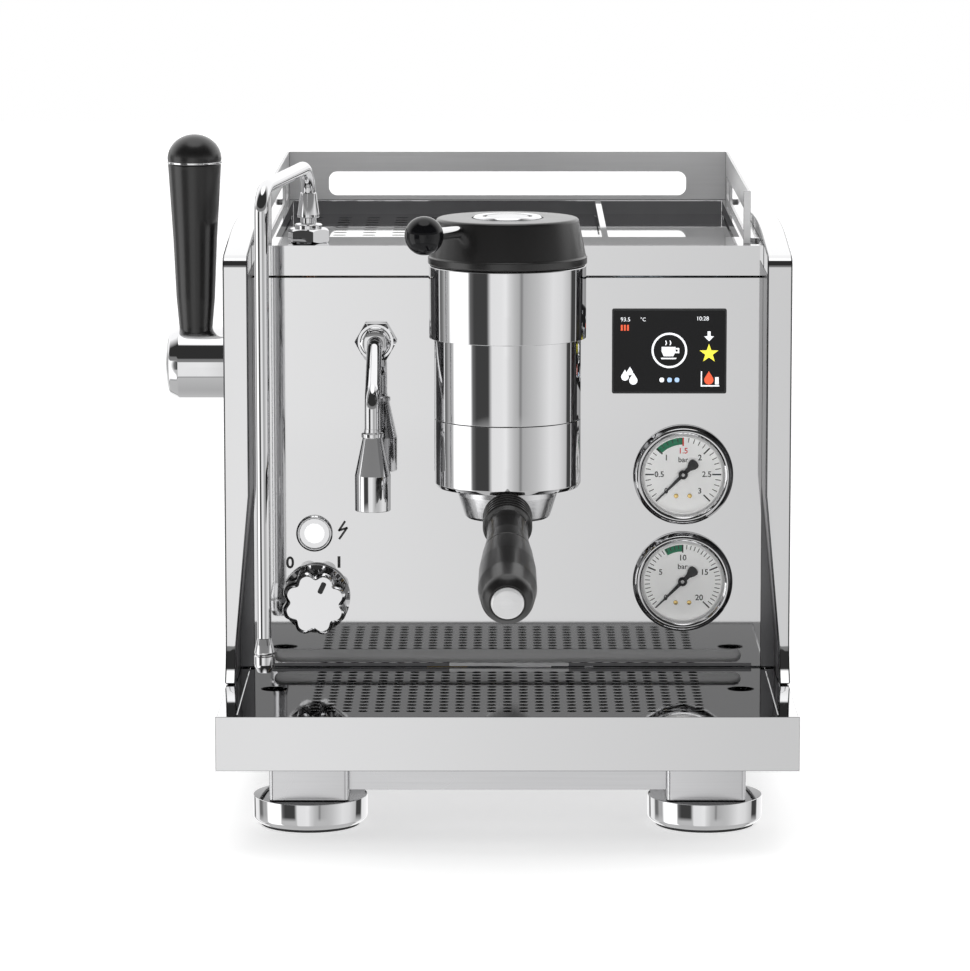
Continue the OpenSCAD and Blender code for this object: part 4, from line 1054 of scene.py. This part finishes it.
def knob_piece():
    """Fluted chrome knob: round skirt, eight flutes, flanks painted dark as shade and a bright flat face."""
    at, _ = joint("power_knob_turn")
    low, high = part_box("power_knob")
    turn = math.radians(25)
    flutes = 8
    gap = 1.4
    radius = (high.z - low.z) / 2 / MM
    depth = (high.y - low.y) / MM - 8
    levels = [(0, radius, 0), (4.4, radius, 0), (5.4, radius - 0.3, 2.6),
              (depth - 4.5, radius - 0.6, 3.2), (depth - 2.0, radius - 1.2, 3.3),
              (depth - 0.5, radius - 2.6, 3.2), (depth, radius - 3.6, 3.1)]
    work = bmesh.new()
    sides = 256
    rings = []
    for height, reach, flute in levels:
        ring = []
        for k in range(sides):
            angle = 2 * math.pi * k / sides
            share = (0.5 + 0.5 * math.cos(flutes * angle - math.pi)) ** 1.6
            out = reach - flute * share
            spot = Vector((math.sin(angle + turn) * out, -gap - height,
                           math.cos(angle + turn) * out))
            ring.append(work.verts.new(Vector((at.x, PANEL_Y, at.z)) + spot * MM))
        rings.append(ring)
    for low_ring, high_ring in zip(rings, rings[1:]):
        bridge(work, low_ring, high_ring)
    work.faces.new(rings[0])
    work.faces.new(rings[-1])
    mesh = meshed("knob_body", work)
    add_piece("knob_body", mesh, CHROME, "knob", ["power_knob"], 25)
    mesh.materials.append(SHADED_CHROME)
    # Faces that look forward keep the chrome; the flanks take the shaded copy, painted shade
    for face in mesh.polygons:
        face.material_index = 0 if abs(face.normal.y) > 0.5 else 1
    ahead = Vector((math.sin(turn), 0, math.cos(turn)))
    side = Vector((math.cos(turn), 0, -math.sin(turn)))
    face = Vector((at.x, PANEL_Y - (gap + depth - 0.8) * MM, at.z))
    mesh = flat_mesh("knob_pointer", [rounded_outline(3.4, 7.9, 1.2, 0, 11.5)], 1.0, face,
                     side, ahead)
    add_piece("knob_pointer", mesh, BLACK_PAINT, "knob")


def panel_pieces():
    """Plate behind the panel's long slot, its sill and tongue, and dark sheets painted as shade: on the sill, at
    the rear of the deck's recess and on the cheeks' inner walls.
    """
    behind = Vector((MID_X, PANEL_Y + 10 * MM, RIM_Z + 7 * MM))
    sill = Vector((MID_X, PANEL_Y - 0.2 * MM, RIM_Z))
    rear = Vector((MID_X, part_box("cup_plate")[1].y + 0.3 * MM, DECK_Z))
    for name, wide, tall, corner, x, y, thick, at, mat in (
            ("slot_backing", 312, 14, 2, 0, 0, 1.0, behind, RAIL),
            ("slot_sill", 318, 1.9, 0.5, 0, 1.6, 0.3, sill, SHADED_STEEL),
            ("slot_tongue", 78, 2.1, 0.6, 1, 1.7, 0.5, sill, RAIL),
            ("recess_rear", 303.6, 10.4, 0.3, 0, -5.6, 0.3, rear, SHADED_STEEL)):
        mesh = flat_mesh(name, [rounded_outline(wide, tall, corner, x, y)], thick, at)
        add_piece(name, mesh, mat)
    # Each cheek's inner wall in front of the panel, and the step between it and the panel, as dark sheets that
    # paint the shade in the gap
    inner = (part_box("right_cheek")[0].x - MID_X) / MM
    deep = 44.0
    at = Vector((MID_X, PANEL_Y - 2.1 * MM, RIM_Z))
    for k, hand in enumerate((-1, 1)):
        foot = hand * (inner + 8.8)
        slope = [(hand * inner, 262.0), (hand * inner, 120.0), (foot, 22.2), (foot, 1.0)]
        wall = slope + [(x - hand * 0.2, z) for x, z in reversed(slope)]
        step = slope[1:] + [(hand * inner, 1.0)]
        for name, outline, thick in ((f"cheek_shade_sheet_{k}", wall, deep),
                                     (f"cheek_step_{k}", step, 0.2)):
            add_piece(name, flat_mesh(name, [outline], thick, at), SHADED_STEEL)


# ---------------------------------------------------------------- putting it together
bpy.context.scene.view_settings.view_transform = "Standard"
add_camera()
add_world()
add_floor()
add_light("key", (-0.9, -1.6, 1.9), (0, 0, 0.2), (1.2, 1.2), 9)
add_light("fill", (1.4, -1.2, 1.2), (0, 0, 0.2), (1.0, 1.0), 4)

# CAD nodes that keep their own shape, with the width of the rounding on their edges in mm
SHEETS = {"left_cheek": 1.0, "right_cheek": 1.0, "front_panel": 0.25, "back_panel": 0.3,
          "top_cover": 0.9, "cup_plate": 0.3, "tank_lid": 0.3, "cup_rail": 0.45,
          "drip_tray": 0.9, "drip_grate": 0.2, "base_frame": 0.5, "foot_blocks": 0.8,
          "power_inlet": 0.4}
for node, obj in frame["nodes"].items():
    finish = FINISH[SLOTS[node]]
    for place in obj.material_slots:
        place.material = finish
for node, width in SHEETS.items():
    finish = RAIL if node == "cup_rail" else FINISH[SLOTS[node]]
    # Most nodes take the dark edge steel on their rounding, painted shade along the edges; the inlet and the grate
    # keep their own finish there
    refine(node, finish, width, finish if node in ("power_inlet", "drip_grate") else EDGE_SHADE)

group_pieces()
paddle_pieces()
portafilter_pieces()
lever_pieces()
wand_pieces()
spout_pieces()
foot_pieces()
gauge_pieces()
display_pieces()
lamp_pieces()
knob_piece()
panel_pieces()
